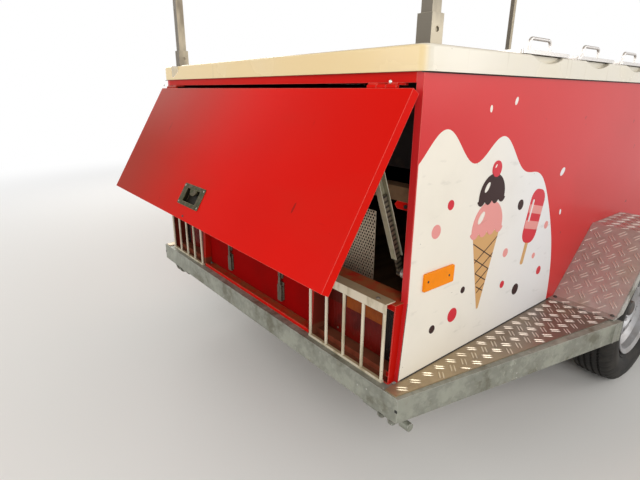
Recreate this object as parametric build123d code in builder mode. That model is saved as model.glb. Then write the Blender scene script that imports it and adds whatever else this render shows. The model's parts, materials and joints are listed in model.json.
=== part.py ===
"""Towed ice cream vending trailer, a platform chassis with a counter body, in millimetres.

X points forward, Y to the trailer's left and Z up. The floor is at Z = 0 and the origin is
below the middle of the whole length, from the open rear flap to the coupling's nose.
Positions along the trailer are first given from the rear rail's outer face, which is "tail_x".
"""

import os
from math import atan2, cos, hypot, radians, sin

from build123d import *

os.makedirs("parts", exist_ok=True)

# The body's width, from which the chassis and the wheels take theirs
body_half_width = 703

# Chassis plan and height
floor_to_rail = 336
rail_height = 70
rail_flange = 40
rail_wall = 4
rail_reach = 47
chassis_width = 2 * (body_half_width + rail_reach)
chassis_length = 2850
side_rail_length = 890
side_rail_flare = 190
beam_width = 40
longitudinal_offset = 520
cross_tube = 50
cross_tube_inset = 420

# Wheels and axle
wheel_from_tail = 1283
tyre_radius = 300
tyre_width = 165
tyre_clearance = 34.5
wheel_track = 2 * (body_half_width + tyre_clearance) + tyre_width
rim_seat_radius = 165
rim_flange_radius = 182
rim_width = 128
rim_wall = 4
hub_radius = 68
drum_radius = 102
disc_hole_count = 10
stud_count = 4
stud_circle = 100
axle_size = 80
arm_reach = 150

# Decks and fenders
deck_plate = 3
deck_inset = 12
fold_from_tail = 903
fender_rise = 235
fender_run = 238
fender_width = 212
fender_lip = 34

# Body
body_from_tail = 66
panel_thickness = 20
panel_toe = 16
floor_board = 15
worktop_bottom = 824
worktop_height = 54
worktop_overhang = 10
worktop_skin = 20
worktop_rim = 34
worktop_corner = 25
notch_inlay = 81
notch_outer = body_half_width - notch_inlay
notch_length = 102
notch_depth = 44
notch_reach = 28
header_height = 22

# Rear recess between the lamp boxes
box_proud = 40
box_depth = 84
box_width = 343
box_inner_edge = body_half_width - box_width
box_board = 18
box_sheet = 3
box_inlay = 10
box_lean = 10
box_flange = 16
box_height = 220
recess_panel = 12
service_height = 150
lip_height = 12

# Rear flap, its hinges and stays
flap_length = 466
flap_margin = 3
flap_width = 2 * (body_half_width - flap_margin)
flap_depth = 22
flap_wall = 2.5
flap_open = 31.1
flap_proud = 4
flap_drop = 6
hinge_from_tail = 44
hinge_height = 793
hinge_barrel = 5.5
hinge_pin = 3
hinge_length = 90
hinge_inlay = 98
hinge_offset = body_half_width - hinge_inlay
stay_inlay = 38
stay_offset = body_half_width - stay_inlay
stay_foot_from_tail = 78
stay_foot_height = 360
stay_reach = 174
stay_stand_off = 25
stay_pin = 4
batten_from_tail = 100
batten_height = 529
batten_width = 45
batten_depth = 35

# Counter lids
lid_count = 4
lid_first = 572
lid_pitch = 330
lid_length = 264
lid_depth = 440
lid_height = 10
lid_overhang = 5
lid_edge = body_half_width + lid_overhang
lid_hinge_spread = 62
tub_depth = 280
handle_span = 116
handle_rise = 32
handle_rod = 9
scoop_width = 184
scoop_depth = 20

# Canopy
post_from_tail = 122
post_inlay = 41
post_offset = body_half_width - post_inlay
post_size = 30
socket_size = 40
socket_height = 64
canopy_height = 2120
canopy_overhang = 130
canopy_rise = 110
canopy_valance = 150
canopy_skin = 4

# Drawbar and jockey wheel
drawbar_reach = 900
drawbar_height = 60
drawbar_width = 50
leg_offset = 430
nose_tube = 340
coupling_reach = 85
ball_radius = 25.2
jockey_from_nose = 640
jockey_tube_radius = 24
jockey_bore = 21.05
jockey_leg_radius = 21
jockey_leg_length = 310
jockey_wheel_radius = 100
jockey_wheel_width = 50
jockey_trail = 38

# Clearances
seat_gap = 0.3
running_gap = 0.05
side_play = 1.5

# Heights and stations that follow from the sizes above
rail_top = floor_to_rail + rail_height
deck_top = rail_top + deck_plate
body_bottom = rail_top + seat_gap
worktop_z = floor_to_rail + worktop_bottom
worktop_top = worktop_z + worktop_height
opening = radians(flap_open)
flap_tail = (flap_drop + flap_length) * sin(opening) + flap_proud * cos(opening)
overall_front = chassis_length + drawbar_reach + coupling_reach + 40
overall_rear = hinge_from_tail - flap_tail
tail_x = -(overall_front + overall_rear) / 2
nose_x = tail_x + chassis_length
wheel_x = tail_x + wheel_from_tail
body_rear_x = tail_x + body_from_tail
body_front_x = nose_x - body_from_tail
body_mid_x = (body_rear_x + body_front_x) / 2
body_length = body_front_x - body_rear_x
axle_x = wheel_x + arm_reach
rail_end_x = tail_x + side_rail_length
front_rail_start_x = 2 * wheel_x - rail_end_x
sides = (("right", -1), ("left", 1))


def save(part, label):
    """Name a finished piece and write it as its own STEP file."""
    part.label = label
    export_step(part, f"parts/{label}.step")


# Chassis frame: an open channel around the deck, widened beside the wheels, with cross tubes
half_rear = chassis_width / 2
half_wide = half_rear + side_rail_flare
with BuildPart() as chassis_frame:
    # each channel face: height above the rail's bottom, thickness, depth inwards
    for base, height, depth in (
        (0, rail_wall, rail_flange),
        (rail_wall, rail_height - 2 * rail_wall, rail_wall),
        (rail_height - rail_wall, rail_wall, rail_flange),
    ):
        with BuildSketch(Plane.XY.offset(floor_to_rail + base)):
            with BuildLine():
                Polyline(
                    (tail_x, half_rear),
                    (rail_end_x, half_wide),
                    (front_rail_start_x, half_wide),
                    (nose_x, half_rear),
                    (nose_x, -half_rear),
                    (front_rail_start_x, -half_wide),
                    (rail_end_x, -half_wide),
                    (tail_x, -half_rear),
                    close=True,
                )
            make_face()
            offset(amount=-depth, kind=Kind.INTERSECTION, mode=Mode.SUBTRACT)
        extrude(amount=height)
    # the side rails stop at the wheels
    gap_length = front_rail_start_x - rail_end_x
    with BuildSketch(Plane.XY.offset(floor_to_rail)):
        with Locations((wheel_x, half_wide), (wheel_x, -half_wide)):
            Rectangle(gap_length, 2 * rail_flange + side_rail_flare)
    extrude(amount=rail_height, mode=Mode.SUBTRACT)
    # outrigger tubes close the rail ends, and more tubes cross the deck
    tube_height = rail_height - 2 * rail_wall
    with BuildSketch(Plane.XY.offset(floor_to_rail + rail_wall)):
        with Locations((rail_end_x - cross_tube / 2, 0), (front_rail_start_x + cross_tube / 2, 0)):
            Rectangle(cross_tube, 2 * half_wide - 2 * rail_wall)
    extrude(amount=tube_height)
    with BuildSketch(Plane.XY.offset(floor_to_rail + rail_wall)):
        with Locations((tail_x + cross_tube_inset, 0), (nose_x - cross_tube_inset, 0)):
            Rectangle(cross_tube, 2 * half_rear + 2 * rail_flange)
    extrude(amount=tube_height)
    # longitudinal beams carry the axle and reach from the rear rail to the front rail
    with BuildSketch(Plane.XY.offset(floor_to_rail)):
        with Locations((tail_x + chassis_length / 2, longitudinal_offset),
                       (tail_x + chassis_length / 2, -longitudinal_offset)):
            Rectangle(chassis_length - 2 * rail_wall, beam_width)
    extrude(amount=rail_height)
save(chassis_frame.part, "chassis_frame")

# Axle: a square torsion tube under the longitudinal beams, with a plate arm at each end
axle_z = floor_to_rail - axle_size / 2 - seat_gap
arm_thickness = 25
arm_to_wheel = 180
arm_inner = wheel_track / 2 - arm_to_wheel
hub_outer = wheel_track / 2 + 12
with BuildPart() as axle_beam:
    with BuildSketch(Plane.XZ):
        with Locations((axle_x, axle_z)):
            RectangleRounded(axle_size, axle_size, 8)
    extrude(amount=arm_inner - seat_gap, both=True)
save(axle_beam.part, "axle_beam")

stub_radius = 20
with BuildPart() as swing_arms:
    with BuildSketch(Plane.XZ.offset(arm_inner)):
        with Locations((axle_x, axle_z)):
            Circle(axle_size / 2)
        with Locations((wheel_x, tyre_radius)):
            Circle(stub_radius + 15)
        make_hull()
    extrude(amount=arm_thickness)
    with BuildSketch(Plane.XZ.offset(arm_inner + arm_thickness)):
        with Locations((wheel_x, tyre_radius)):
            Circle(stub_radius)
    extrude(amount=hub_outer - arm_inner - arm_thickness - 20)
    mirror(about=Plane.XZ)
save(swing_arms.part, "swing_arms")

# Wheels: drum and hub, steel disc rim, and tyre, each turned about its own axle line
drum_depth = 62
drum_inner = arm_inner + arm_thickness + 12
disc_outer = hub_outer + rim_wall
for side, sign in sides:
    middle = wheel_track / 2
    # the plane's X runs outwards along the axle and its Y is the radius
    turn = Plane(origin=(wheel_x, 0, tyre_radius), x_dir=(0, sign, 0), z_dir=(sign, 0, 0))
    spin = Axis((wheel_x, 0, tyre_radius), (0, 1, 0))
    bore = stub_radius + running_gap

    with BuildPart() as hub:
        with BuildSketch(turn):
            with BuildLine():
                Polyline(
                    (drum_inner, bore),
                    (drum_inner, drum_radius - 14),
                    (drum_inner + 10, drum_radius),
                    (drum_inner + drum_depth, drum_radius),
                    (drum_inner + drum_depth + 12, hub_radius),
                    (hub_outer, hub_radius),
                    (hub_outer, 34),
                    (hub_outer + 26, 30),
                    (hub_outer + 30, 22),
                    (hub_outer + 30, 0),
                    (hub_outer - 18, 0),
                    (hub_outer - 18, bore),
                    close=True,
                )
            make_face()
        revolve(axis=spin)
    save(hub.part, f"hub_{side}")

    half_rim = rim_width / 2
    well_radius = rim_seat_radius - 22
    with BuildPart() as rim:
        with BuildSketch(turn):
            with BuildLine():
                Polyline(
                    (middle - half_rim, rim_flange_radius),
                    (middle - half_rim + 6, rim_seat_radius + 1),
                    (middle - half_rim + 26, rim_seat_radius - 1),
                    (middle - half_rim + 40, well_radius),
                    (middle + half_rim - 46, well_radius),
                    (middle + half_rim - 30, rim_seat_radius - 1),
                    (middle + half_rim - 6, rim_seat_radius + 1),
                    (middle + half_rim, rim_flange_radius),
                )
                offset(amount=rim_wall, side=Side.RIGHT, kind=Kind.INTERSECTION)
            make_face()
        revolve(axis=spin)
        # the disc bellies outwards from the hub face and meets the well
        with BuildSketch(turn):
            with BuildLine():
                Polyline(
                    (disc_outer, 35),
                    (disc_outer, hub_radius + 4),
                    (disc_outer + 14, hub_radius + 18),
                    (disc_outer + 14, well_radius - 32),
                    (disc_outer - 6, well_radius - 1),
                )
                offset(amount=rim_wall, side=Side.LEFT, kind=Kind.INTERSECTION)
            make_face()
        revolve(axis=spin)
        face = Plane(origin=(wheel_x, sign * (disc_outer - 12), tyre_radius), z_dir=(0, sign, 0))
        with BuildSketch(face):
            with PolarLocations(hub_radius + 36, disc_hole_count):
                Circle(11)
        extrude(amount=40, mode=Mode.SUBTRACT)
        # wheel bolts stand on the disc
        with BuildSketch(face.offset(12)):
            with PolarLocations(stud_circle / 2, stud_count):
                RegularPolygon(11, 6)
        extrude(amount=14)
    save(rim.part, f"rim_{side}")

    half_tyre = tyre_width / 2
    half_bead = half_rim - 9
    bead = rim_seat_radius + 1 + seat_gap
    with BuildPart() as tyre:
        with BuildSketch(turn):
            with BuildLine():
                Polyline(
                    (middle - half_bead, bead),
                    (middle - half_bead - 12, rim_flange_radius + 14),
                    (middle - half_tyre, rim_flange_radius + 56),
                    (middle - half_tyre + 10, tyre_radius - 22),
                    (middle - half_tyre + 30, tyre_radius - 3),
                    (middle - 20, tyre_radius),
                    (middle + 20, tyre_radius),
                    (middle + half_tyre - 30, tyre_radius - 3),
                    (middle + half_tyre - 10, tyre_radius - 22),
                    (middle + half_tyre, rim_flange_radius + 56),
                    (middle + half_bead + 12, rim_flange_radius + 14),
                    (middle + half_bead, bead),
                    close=True,
                )
            make_face()
        revolve(axis=spin)
    save(tyre.part, f"tyre_{side}")

# Drawbar: two legs converge on a nose tube that carries the coupling and the jockey wheel
drawbar_z = floor_to_rail + (rail_height - drawbar_height) / 2
tip_x = nose_x + drawbar_reach
tube_start_x = tip_x - nose_tube
half_leg = drawbar_width / 2
tube_half = 30
with BuildPart() as drawbar:
    with BuildSketch(Plane.XY.offset(drawbar_z)):
        for sign in (1, -1):
            with BuildLine():
                Polyline(
                    (nose_x + seat_gap, sign * (leg_offset + half_leg)),
                    (tube_start_x + 60, sign * tube_half),
                    (tube_start_x, sign * (tube_half - 25)),
                    (nose_x + seat_gap, sign * (leg_offset - half_leg)),
                    close=True,
                )
            make_face()
        with Locations((tip_x - nose_tube / 2, 0)):
            Rectangle(nose_tube, 2 * tube_half)
        # a cross tube ties the legs together
        with Locations((nose_x + 220, 0)):
            Rectangle(cross_tube, 2 * leg_offset * 0.62)
    extrude(amount=drawbar_height)
    # the clamp that holds the jockey tube on the right flank of the nose tube
    jockey_x = nose_x + jockey_from_nose
    jockey_y = -(tube_half + 14 + jockey_tube_radius)
    with BuildSketch(Plane.XY.offset(drawbar_z + 8)):
        with Locations((jockey_x, jockey_y)):
            Circle(jockey_tube_radius + 8)
        with Locations((jockey_x, -(tube_half + 8))):
            Rectangle(50, 20)
        with Locations((jockey_x, jockey_y)):
            Circle(jockey_tube_radius + seat_gap, mode=Mode.SUBTRACT)
    extrude(amount=drawbar_height - 16)
save(drawbar.part, "drawbar")

# Coupling: a pressed head on the nose tube with the ball socket open below
coupling_x = tip_x + coupling_reach
coupling_z = drawbar_z + drawbar_height + seat_gap
with BuildPart() as coupling_head:
    with BuildSketch(Plane.XZ):
        with BuildLine():
            Polyline(
                (tip_x - 150, coupling_z),
                (tip_x - 150, coupling_z + 26),
                (coupling_x - 20, coupling_z + 46),
                (coupling_x + 20, coupling_z + 46),
                (coupling_x + 20, coupling_z - 4),
                (tip_x + 4, coupling_z - 4),
                (tip_x + 4, coupling_z),
                close=True,
            )
        make_face()
    extrude(amount=24, both=True)
    with BuildSketch(Plane.XY.offset(coupling_z - 12)):
        with Locations((coupling_x, 0)):
            Circle(40)
    extrude(amount=50)
    fillet(coupling_head.edges().filter_by(GeomType.CIRCLE).group_by(Axis.Z)[-1], 12)
    with BuildSketch(Plane.XY.offset(coupling_z - 12)):
        with Locations((coupling_x, 0)):
            Circle(ball_radius)
    extrude(amount=36, mode=Mode.SUBTRACT)
save(coupling_head.part, "coupling_head")

with BuildPart() as coupling_handle:
    with BuildSketch(Plane.XZ):
        with BuildLine():
            Polyline((coupling_x - 6, coupling_z + 46 + seat_gap), (coupling_x - 34, coupling_z + 46 + seat_gap),
                     (coupling_x - 60, coupling_z + 66), (tip_x - 170, coupling_z + 56))
            offset(amount=8, side=Side.RIGHT, kind=Kind.INTERSECTION)
        make_face()
    extrude(amount=14, both=True)
save(coupling_handle.part, "coupling_handle")

# Jockey wheel: clamped tube with a crank, sliding leg, trailing fork and wheel
jockey_tube_bottom = floor_to_rail + 8
jockey_tube_top = floor_to_rail + 310
fork_top = 218
with BuildPart() as jockey_tube:
    with BuildSketch(Plane.XY.offset(jockey_tube_bottom)):
        with Locations((jockey_x, jockey_y)):
            Circle(jockey_tube_radius)
            Circle(jockey_bore, mode=Mode.SUBTRACT)
    extrude(amount=jockey_tube_top - jockey_tube_bottom)
    with BuildSketch(Plane.XY.offset(jockey_tube_top)):
        with Locations((jockey_x, jockey_y)):
            Circle(jockey_tube_radius + 3)
    extrude(amount=14)
save(jockey_tube.part, "jockey_tube")

crank_z = jockey_tube_top + 14
with BuildPart() as jockey_crank:
    with BuildSketch(Plane.XY.offset(crank_z + seat_gap)):
        with Locations((jockey_x, jockey_y)):
            Circle(9)
    extrude(amount=22)
    with BuildSketch(Plane.XY.offset(crank_z + 12)):
        with Locations((jockey_x + 45, jockey_y)):
            SlotCenterToCenter(90, 20)
    extrude(amount=8)
    with BuildSketch(Plane.XY.offset(crank_z + 20)):
        with Locations((jockey_x + 90, jockey_y)):
            Circle(8)
    extrude(amount=70)
save(jockey_crank.part, "jockey_crank")

with BuildPart() as jockey_leg:
    with BuildSketch(Plane.XY.offset(fork_top + seat_gap)):
        with Locations((jockey_x, jockey_y)):
            Circle(jockey_leg_radius)
    extrude(amount=jockey_leg_length)
save(jockey_leg.part, "jockey_leg")

jockey_wheel_x = jockey_x - jockey_trail
fork_half = jockey_wheel_width / 2 + 7
with BuildPart() as jockey_fork:
    with BuildSketch(Plane.XY.offset(fork_top - 6)):
        with Locations((jockey_x - jockey_trail / 2, jockey_y)):
            RectangleRounded(jockey_trail + 60, 2 * fork_half, 6)
    extrude(amount=6)
    # cheek plates taper down to the wheel's axle
    for cheek in (1, -1):
        with BuildSketch(Plane.XZ.offset(-(jockey_y + cheek * (fork_half - 2)))):
            with BuildLine():
                Polyline(
                    (jockey_wheel_x - 14, jockey_wheel_radius - 12),
                    (jockey_wheel_x + 14, jockey_wheel_radius - 12),
                    (jockey_x + 26, fork_top - 6),
                    (jockey_wheel_x - 26, fork_top - 6),
                    close=True,
                )
            make_face()
        extrude(amount=2, both=True)
    with BuildSketch(Plane.XZ.offset(-(jockey_y + fork_half))):
        with Locations((jockey_wheel_x, jockey_wheel_radius)):
            Circle(8)
    extrude(amount=2 * fork_half)
save(jockey_fork.part, "jockey_fork")

with BuildPart() as jockey_wheel:
    wheel_plane = Plane(origin=(jockey_wheel_x, jockey_y, jockey_wheel_radius), x_dir=(0, 1, 0), z_dir=(1, 0, 0))
    half_jockey = jockey_wheel_width / 2
    with BuildSketch(wheel_plane):
        with BuildLine():
            Polyline(
                (-half_jockey, 8 + running_gap),
                (-half_jockey, 26),
                (-12, 30),
                (-12, jockey_wheel_radius - 34),
                (-half_jockey + 4, jockey_wheel_radius - 28),
                (-half_jockey + 4, jockey_wheel_radius - 8),
                (-half_jockey + 14, jockey_wheel_radius),
                (half_jockey - 14, jockey_wheel_radius),
                (half_jockey - 4, jockey_wheel_radius - 8),
                (half_jockey - 4, jockey_wheel_radius - 28),
                (12, jockey_wheel_radius - 34),
                (12, 30),
                (half_jockey, 26),
                (half_jockey, 8 + running_gap),
                close=True,
            )
        make_face()
    revolve(axis=Axis((jockey_wheel_x, jockey_y, jockey_wheel_radius), (0, 1, 0)))
save(jockey_wheel.part, "jockey_wheel")

# Prop stands: brackets under the rear corners, with legs that fold up under the deck
prop_x = tail_x + 52
prop_z = floor_to_rail - 36
prop_inlay = 68
prop_offset = half_rear - prop_inlay
prop_length = 262
prop_tube = 30
plate_gap = prop_tube / 2 + side_play
pivot_radius = 7
with BuildPart() as prop_brackets:
    for start in (-plate_gap - 5, plate_gap):
        with BuildSketch(Plane.XZ.offset(prop_offset + start)):
            with Locations((prop_x, floor_to_rail - 6)):
                Rectangle(64, 12 - 2 * seat_gap)
            with Locations((prop_x, prop_z)):
                Circle(24)
            make_hull()
        extrude(amount=5)
    # the pivot shaft runs on past the bracket to a knob outside and a rounded cap inside
    with BuildSketch(Plane.XZ.offset(prop_offset - 80)):
        with Locations((prop_x, prop_z)):
            Circle(pivot_radius)
    extrude(amount=145)
    for start, length, radius in ((-86, 58, 17), (44, 28, 12)):
        with BuildSketch(Plane.XZ.offset(prop_offset + start)):
            with Locations((prop_x, prop_z)):
                Circle(radius)
        extrude(amount=length)
    mirror(about=Plane.XZ)
save(prop_brackets.part, "prop_brackets")

for side, sign in sides:
    with BuildPart() as prop_leg:
        with BuildSketch(Plane.XZ.offset(-sign * prop_offset)):
            with Locations((prop_x, prop_z)):
                Circle(prop_tube / 2)
            with Locations((prop_x + prop_length / 2, prop_z)):
                Rectangle(prop_length, prop_tube)
        extrude(amount=prop_tube / 2, both=True)
        with BuildSketch(Plane.YZ.offset(prop_x + prop_length)):
            with Locations((sign * prop_offset, prop_z - 2)):
                RectangleRounded(70, 50, 6)
        extrude(amount=5)
        with BuildSketch(Plane.XZ.offset(-sign * prop_offset - prop_tube)):
            with Locations((prop_x, prop_z)):
                Circle(pivot_radius + running_gap)
        extrude(amount=2 * prop_tube, mode=Mode.SUBTRACT)
    save(prop_leg.part, f"prop_leg_{side}")

# Deck plates beside the body, ahead of and behind the wheels
deck_inner = body_half_width + seat_gap
fold_x = tail_x + fold_from_tail
front_fold_x = 2 * wheel_x - fold_x
flare_slope = side_rail_flare / side_rail_length
front_slope = side_rail_flare / (nose_x - front_rail_start_x)


def edge_at(x):
    """Outer edge of the deck: the rail's outer face less the inset, straight beside the wheels."""
    rear = half_rear + (x - tail_x) * flare_slope
    front = half_rear + (nose_x - x) * front_slope
    return min(rear, front, half_wide) - deck_inset


with BuildPart() as platforms:
    for start, stop in ((tail_x + 4, fold_x), (front_fold_x, nose_x - 4)):
        outer_wide = deck_inner + fender_width
        with BuildSketch(Plane.XY.offset(rail_top)):
            with BuildLine():
                Polyline(
                    (start, deck_inner),
                    (start, min(edge_at(start), outer_wide)),
                    (stop, min(edge_at(stop), outer_wide)),
                    (stop, deck_inner),
                    close=True,
                )
            make_face()
        extrude(amount=deck_plate)
    mirror(about=Plane.XZ)
save(platforms.part, "platforms")

# Fenders: one folded strip per side that climbs over the wheel, with a folded outer lip
fender_top = deck_top + fender_rise
fender_path = [
    (fold_x - 40, deck_top + seat_gap),
    (fold_x, deck_top + seat_gap),
    (fold_x + fender_run, fender_top),
    (front_fold_x - fender_run, fender_top),
    (front_fold_x, deck_top + seat_gap),
    (front_fold_x + 40, deck_top + seat_gap),
]
with BuildPart() as fenders:
    with BuildSketch(Plane.XZ.offset(deck_inner)):
        with BuildLine():
            Polyline(*fender_path)
            offset(amount=deck_plate, side=Side.LEFT, kind=Kind.INTERSECTION)
        make_face()
    extrude(amount=fender_width)
    mirror(about=Plane.XZ)
save(fenders.part, "fenders")

lip_path = fender_path[1:5]
with BuildPart() as fender_edges:
    with BuildSketch(Plane.XZ.offset(deck_inner + fender_width + seat_gap)):
        with BuildLine():
            Polyline((fold_x - fender_lip, deck_top + seat_gap), *lip_path,
                     (front_fold_x + fender_lip, deck_top + seat_gap))
            offset(amount=fender_lip, side=Side.RIGHT, kind=Kind.INTERSECTION)
        make_face()
        # the lip ends flush with the rail's top
        with Locations((wheel_x, rail_top - 50 + seat_gap)):
            Rectangle(2 * chassis_length, 100, mode=Mode.SUBTRACT)
    extrude(amount=4)
    mirror(about=Plane.XZ)
save(fender_edges.part, "fender_edges")

# Body panels
panel_height = worktop_z - body_bottom - seat_gap
box_top = floor_to_rail + 69 + box_height
inner_half = body_half_width - panel_thickness
for side, sign in sides:
    with BuildPart() as side_panel:
        # beside the lamp box the rear edge toes out towards the rail
        with BuildSketch(Plane.XZ.offset(-sign * (body_half_width - panel_thickness / 2))):
            with BuildLine():
                Polyline(
                    (body_rear_x - panel_toe, body_bottom),
                    (body_rear_x, box_top),
                    (body_rear_x, body_bottom + panel_height),
                    (body_front_x, body_bottom + panel_height),
                    (body_front_x, body_bottom),
                    close=True,
                )
            make_face()
        extrude(amount=panel_thickness / 2, both=True)
    save(side_panel.part, f"side_panel_{side}")

board_half = inner_half - seat_gap
with BuildPart() as front_panel:
    with BuildSketch(Plane.XY.offset(body_bottom)):
        with Locations((body_front_x - panel_thickness / 2, 0)):
            Rectangle(panel_thickness, 2 * board_half)
    extrude(amount=panel_height)
save(front_panel.part, "front_panel")

floor_front = body_front_x - panel_thickness - seat_gap
with BuildPart() as body_floor:
    with BuildSketch(Plane.XY.offset(body_bottom)):
        with Locations(((body_rear_x + floor_front) / 2, 0)):
            Rectangle(floor_front - body_rear_x, 2 * board_half)
    extrude(amount=floor_board)
save(body_floor.part, "body_floor")
floor_top = body_bottom + floor_board + seat_gap

# Rear frame: the header under the worktop and the sill over the recess
header_top = worktop_z - seat_gap
lip_x = tail_x + body_from_tail - box_proud
sill_bottom = floor_top + service_height + 6
with BuildPart() as rear_frame:
    with BuildSketch(Plane.YZ.offset(body_rear_x)):
        with Locations((0, header_top - header_height / 2)):
            Rectangle(2 * board_half, header_height)
        with Locations((0, (sill_bottom + box_top) / 2)):
            Rectangle(2 * (box_inner_edge - seat_gap), box_top - sill_bottom)
    extrude(amount=panel_thickness)
    # the recess floor runs out over the rear rail to a turned-up lip
    with BuildSketch(Plane.XY.offset(body_bottom)):
        with Locations(((lip_x + body_rear_x) / 2, 0)):
            Rectangle(body_rear_x - lip_x - 2 * seat_gap, 2 * (box_inner_edge - seat_gap))
    extrude(amount=4)
    with BuildSketch(Plane.XY.offset(body_bottom)):
        with Locations((lip_x + 3, 0)):
            Rectangle(6, 2 * (box_inner_edge - seat_gap))
    extrude(amount=lip_height)
save(rear_frame.part, "rear_frame")

# Service panel between the lamp boxes, which its two toggle latches let go
service_half = box_inner_edge - 4
with BuildPart() as service_panel:
    with BuildSketch(Plane.YZ.offset(body_rear_x - recess_panel - seat_gap)):
        with Locations((0, floor_top + service_height / 2)):
            Rectangle(2 * service_half, service_height)
    extrude(amount=recess_panel)
save(service_panel.part, "service_panel")

toggle_offset = 175
toggle_face = body_rear_x - recess_panel - 2 * seat_gap
with BuildPart() as toggle_latches:
    # from the base plate up: width, bottom, height, start and end distance from the panel
    for width, bottom, height, near, far in (
        (34, 26, 62, 0, 3),
        (22, 20, 58, 3, 10),
        (10, 78, 52, 5, 10),
        (26, 104, 22, 0, 5),
    ):
        with BuildSketch(Plane.YZ.offset(toggle_face - far)):
            with Locations((toggle_offset, floor_top + bottom + height / 2),
                           (-toggle_offset, floor_top + bottom + height / 2)):
                Rectangle(width, height)
        extrude(amount=far - near)
save(toggle_latches.part, "toggle_latches")

# Lamp boxes beside the recess: sheet boxes, open to the rear, whose face and sides lean forward.
# The proud part ends against the side panel's toed edge, and the deep part fits between the panels.
box_bottom = body_bottom
box_outer = body_half_width - box_inlay
box_back = lip_x + box_depth
cavity_inner = box_inner_edge + box_board
cavity_outer = board_half - box_sheet
cavity_top = box_top - box_sheet
toe_bottom = body_rear_x - panel_toe - seat_gap
toe_top = body_rear_x - seat_gap
with BuildPart() as lamp_boxes:
    # outer shape, then the hollow, of the proud and the deep part: outline and reach in Y
    for outline, low, high, mode in (
        (((lip_x, box_bottom), (lip_x + box_lean, box_top), (toe_top, box_top), (toe_bottom, box_bottom)),
         box_inner_edge, box_outer, Mode.ADD),
        (((toe_bottom - box_sheet, box_bottom), (toe_top - box_sheet, box_top), (box_back, box_top),
          (box_back, box_bottom)), box_inner_edge, board_half, Mode.ADD),
        (((lip_x - box_proud, box_bottom + box_sheet), (lip_x - box_proud, cavity_top),
          (toe_top - box_sheet, cavity_top), (toe_bottom - box_sheet, box_bottom + box_sheet)),
         cavity_inner, box_outer - box_sheet, Mode.SUBTRACT),
        (((lip_x, floor_top + box_sheet), (lip_x, cavity_top), (box_back - box_sheet, cavity_top),
          (box_back - box_sheet, floor_top + box_sheet)), cavity_inner, cavity_outer, Mode.SUBTRACT),
    ):
        with BuildSketch(Plane.XZ.offset(-high)):
            with BuildLine():
                Polyline(*outline, close=True)
            make_face()
        extrude(amount=high - low, mode=mode)
    # a flange turned down over the opening
    with BuildSketch(Plane.XZ.offset(-box_outer)):
        with BuildLine():
            Polyline((lip_x + box_lean, box_top), (lip_x + box_lean + box_sheet, box_top),
                     (lip_x + box_lean + box_sheet, box_top - box_flange),
                     (lip_x + box_lean, box_top - box_flange), close=True)
        make_face()
    extrude(amount=box_outer - box_inner_edge)
    # the floor board passes under the deep part
    with BuildSketch(Plane.YZ.offset(toe_bottom)):
        with Locations((inner_half / 2, floor_top / 2)):
            Rectangle(2 * inner_half, floor_top)
    extrude(amount=2 * box_depth, mode=Mode.SUBTRACT)
    mirror(about=Plane.XZ)
save(lamp_boxes.part, "lamp_boxes")

# Tail lamps: a dark tray with an amber row over a red row
lamp_back = box_back - box_sheet - seat_gap
lamp_middle = (cavity_inner + cavity_outer) / 2
lamp_width = cavity_outer - cavity_inner - 16
lamp_bottom = floor_top + 4
lamp_height = cavity_top - 6 - lamp_bottom
tray_depth = 22
with BuildPart() as lamp_housings:
    with BuildSketch(Plane.YZ.offset(lamp_back - tray_depth)):
        with Locations((lamp_middle, lamp_bottom + lamp_height / 2)):
            Rectangle(lamp_width, lamp_height)
    extrude(amount=tray_depth)
    with BuildSketch(Plane.YZ.offset(lamp_back - tray_depth)):
        with Locations((lamp_middle, lamp_bottom + lamp_height / 2)):
            Rectangle(lamp_width - 8, lamp_height - 8)
    extrude(amount=tray_depth - 4, mode=Mode.SUBTRACT)
    mirror(about=Plane.XZ)
save(lamp_housings.part, "lamp_housings")

lens_split = lamp_bottom + lamp_height * 0.52
for colour, low, high in (
    ("red", lamp_bottom + 4 + seat_gap, lens_split),
    ("amber", lens_split + seat_gap, lamp_bottom + lamp_height - 4 - seat_gap),
):
    with BuildPart() as lens:
        with BuildSketch(Plane.YZ.offset(lamp_back - tray_depth - 6)):
            with Locations((lamp_middle, (low + high) / 2)):
                Rectangle(lamp_width - 8 - 2 * seat_gap, high - low)
        extrude(amount=tray_depth + 2 - seat_gap)
        mirror(about=Plane.XZ)
    save(lens.part, f"lamp_lenses_{colour}")

# Lamp guards: five bars between an angle on the box's top and a foot strip
guard_bars = 5
guard_bar = 9
guard_inner = box_inner_edge + 12
guard_outer = inner_half - 6
guard_x = lip_x - seat_gap - guard_bar / 2
guard_foot = rail_top + seat_gap
with BuildPart() as lamp_guards:
    bar_pitch = (guard_outer - guard_inner - guard_bar) / (guard_bars - 1)
    with BuildSketch(Plane.XY.offset(guard_foot)):
        with Locations([(guard_x, guard_inner + guard_bar / 2 + bar * bar_pitch) for bar in range(guard_bars)]):
            Circle(guard_bar / 2)
    extrude(amount=box_top - guard_foot)
    with BuildSketch(Plane.XY.offset(guard_foot)):
        with Locations((guard_x, (guard_inner + guard_outer) / 2)):
            Rectangle(guard_bar, guard_outer - guard_inner)
    extrude(amount=8)
    # the angle: a flat on the box's top and a turned-down leg that holds the bars
    angle_back = guard_x - guard_bar / 2
    with BuildSketch(Plane.XZ.offset(-guard_outer)):
        with BuildLine():
            Polyline(
                (angle_back, box_top - 22),
                (angle_back, box_top + 3 + seat_gap),
                (angle_back + 36, box_top + 3 + seat_gap),
                (angle_back + 36, box_top + seat_gap),
                (angle_back + 3, box_top + seat_gap),
                (angle_back + 3, box_top - 22),
                close=True,
            )
        make_face()
    extrude(amount=guard_outer - guard_inner)
    mirror(about=Plane.XZ)
save(lamp_guards.part, "lamp_guards")

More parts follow.
